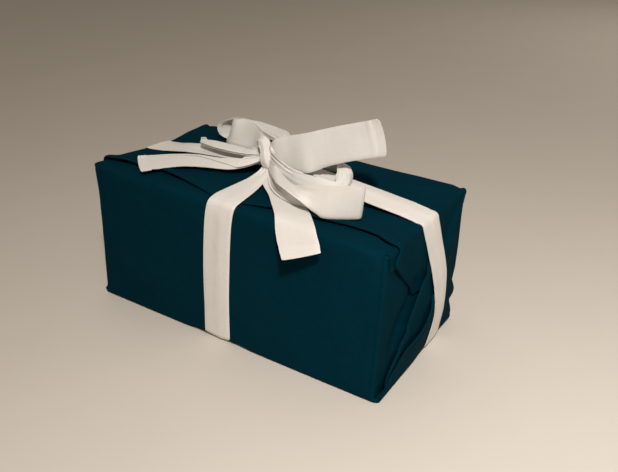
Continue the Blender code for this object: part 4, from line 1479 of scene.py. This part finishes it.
class GIFTWRAP_OT_cloth(bpy.types.Operator):
    """Make the wrapping cloth with its folded ends and its free edge on top"""

    bl_idname = "giftwrap.cloth"
    bl_label = "Wrapping cloth"

    def execute(self, context):
        settings = context.scene.giftwrap_cloth
        finish = woven_finish("dyed_cotton", settings, 0.9, 0.0, (0.0, 0.55, 0.7, 1.0), 0.02)
        patches = wrap_patches(settings.waves / MM)
        made = sheet_piece("wrapping_cloth", patches, settings.thickness, finish)
        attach(made, "root")
        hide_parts("wrap_cloth")
        return {"FINISHED"}


class GIFTWRAP_OT_bands(bpy.types.Operator):
    """Make the two bands of ribbon round the parcel"""

    bl_idname = "giftwrap.bands"
    bl_label = "Ribbon bands"

    def execute(self, context):
        wave_height = context.scene.giftwrap_cloth.waves / MM
        bands = (("girth_band", girth_rows()), ("lengthwise_band", long_rows()))
        for index, (name, rows) in enumerate(bands):
            rows = evenly(dressed_rows(rows, wave_height), BAND_STEP)
            made, length = ribbon_strip(context, name, rows, 3 + index, 1.0, ridge=1.1)
            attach(made, "root")
            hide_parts("ribbon")
        return {"FINISHED"}


class GIFTWRAP_OT_bow(bpy.types.Operator):
    """Make the bow's four loops and four tails"""

    bl_idname = "giftwrap.bow"
    bl_label = "Loops and tails"

    def execute(self, context):
        for index, (name, table, held, hem, fold_first, crown, turn) in enumerate(BOW):
            rows = evenly(smooth_rows(table, 12), BOW_STEP)
            made, length = ribbon_strip(
                context, name, rows, 11 + index, BOW_THICKNESS, hem=hem, fold_first=fold_first,
                crown=crown, turn=turn)
            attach(made, "root")
            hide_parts("ribbon")
        return {"FINISHED"}


class GIFTWRAP_OT_knot(bpy.types.Operator):
    """Make the knot's gathered rolls"""

    bl_idname = "giftwrap.knot"
    bl_label = "Knot"

    def execute(self, context):
        for index, (name, points, widths, depths, pleats) in enumerate(KNOT):
            patch = roll_patch(points, widths, depths, pleats, 31 + index)
            made = solid_piece(name, [patch], ribbon_finish(context))
            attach(made, "root")
            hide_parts("ribbon")
        return {"FINISHED"}


class GIFTWRAP_OT_stage(bpy.types.Operator):
    """Make the floor, the lights and the camera"""

    bl_idname = "giftwrap.stage"
    bl_label = "Stage"

    def execute(self, context):
        settings = context.scene.giftwrap_stage
        scene = context.scene
        half = FLOOR_HALF
        corners = [(-half, -half, 0), (half, -half, 0), (half, half, 0), (-half, half, 0)]
        mesh = bpy.data.meshes.new("floor")
        mesh.from_pydata(corners, [], [(0, 1, 2, 3)])
        mesh.materials.append(floor_finish("plain_floor", tuple(settings.floor)))
        floor = bpy.data.objects.new("floor", mesh)
        scene.collection.objects.link(floor)
        for name, place, goal, share, size, spread, colour in LIGHTS:
            data = bpy.data.lights.new(name, "AREA")
            data.energy = settings.key * share
            data.size = size
            data.spread = math.radians(spread)
            data.color = colour
            toward = Vector(np.array(goal) - np.array(place))
            placed(scene, name, data, place, toward.to_track_quat("-Z", "Y"))
        world = bpy.data.worlds.new("soft_room")
        world.use_nodes = True
        back = world.node_tree.nodes["Background"]
        back.inputs["Color"].default_value = ROOM_COLOUR
        back.inputs["Strength"].default_value = settings.fill
        scene.world = world
        scene.view_settings.view_transform = "Standard"
        data = bpy.data.cameras.new("camera")
        data.lens = CAMERA_LENS
        data.sensor_width = 36.0
        data.clip_start = 0.01
        data.clip_end = 50.0
        scene.camera = placed(scene, "camera", data, CAMERA_PLACE, camera_turn(*CAMERA_TURN))
        return {"FINISHED"}


def placed(scene, name, data, place, turn):
    """A lamp or camera at its place, turned by a quaternion."""
    made = bpy.data.objects.new(name, data)
    made.location = place
    made.rotation_mode = "QUATERNION"
    made.rotation_quaternion = turn
    scene.collection.objects.link(made)
    return made


def camera_turn(*degrees):
    """The camera's turn from its azimuth, elevation and roll in degrees."""
    azimuth, elevation, roll = (math.radians(value) for value in degrees)
    level = math.cos(elevation)
    back = np.array((math.sin(azimuth) * level, -math.cos(azimuth) * level, math.sin(elevation)))
    right = np.array((math.cos(azimuth), math.sin(azimuth), 0.0))
    up = np.cross(back, right)
    across, raised = math.cos(roll), math.sin(roll)
    turned = np.column_stack([across * right + raised * up, across * up - raised * right, back])
    return Matrix(turned.tolist()).to_quaternion()


class GIFTWRAP_PT_panel(bpy.types.Panel):
    """Buttons for each piece, in the 3D view's sidebar"""

    bl_label = "Gift Wrap"
    bl_idname = "GIFTWRAP_PT_panel"
    bl_space_type = "VIEW_3D"
    bl_region_type = "UI"
    bl_category = "Gift Wrap"

    def draw(self, context):
        for group_name, _ in SETTINGS:
            settings = getattr(context.scene, group_name)
            for name in settings.bl_rna.properties.keys():
                if name not in {"rna_type", "name"}:
                    self.layout.prop(settings, name)
        for operator in OPERATORS:
            self.layout.operator(operator.bl_idname)


SETTINGS = (
    ("giftwrap_cloth", ClothSettings),
    ("giftwrap_ribbon", RibbonSettings),
    ("giftwrap_stage", StageSettings),
)
OPERATORS = (
    GIFTWRAP_OT_carton,
    GIFTWRAP_OT_cloth,
    GIFTWRAP_OT_bands,
    GIFTWRAP_OT_bow,
    GIFTWRAP_OT_knot,
    GIFTWRAP_OT_stage,
)


def register():
    for name, group in SETTINGS:
        bpy.utils.register_class(group)
        setattr(bpy.types.Scene, name, PointerProperty(type=group))
    for operator in OPERATORS:
        bpy.utils.register_class(operator)
    bpy.utils.register_class(GIFTWRAP_PT_panel)


def unregister():
    bpy.utils.unregister_class(GIFTWRAP_PT_panel)
    for operator in reversed(OPERATORS):
        bpy.utils.unregister_class(operator)
    for name, group in reversed(SETTINGS):
        delattr(bpy.types.Scene, name)
        bpy.utils.unregister_class(group)


def main():
    """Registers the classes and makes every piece."""
    register()
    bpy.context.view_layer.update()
    bpy.ops.giftwrap.carton()
    bpy.ops.giftwrap.cloth()
    bpy.ops.giftwrap.bands()
    bpy.ops.giftwrap.bow()
    bpy.ops.giftwrap.knot()
    bpy.ops.giftwrap.stage()


if __name__ == "__main__":
    main()
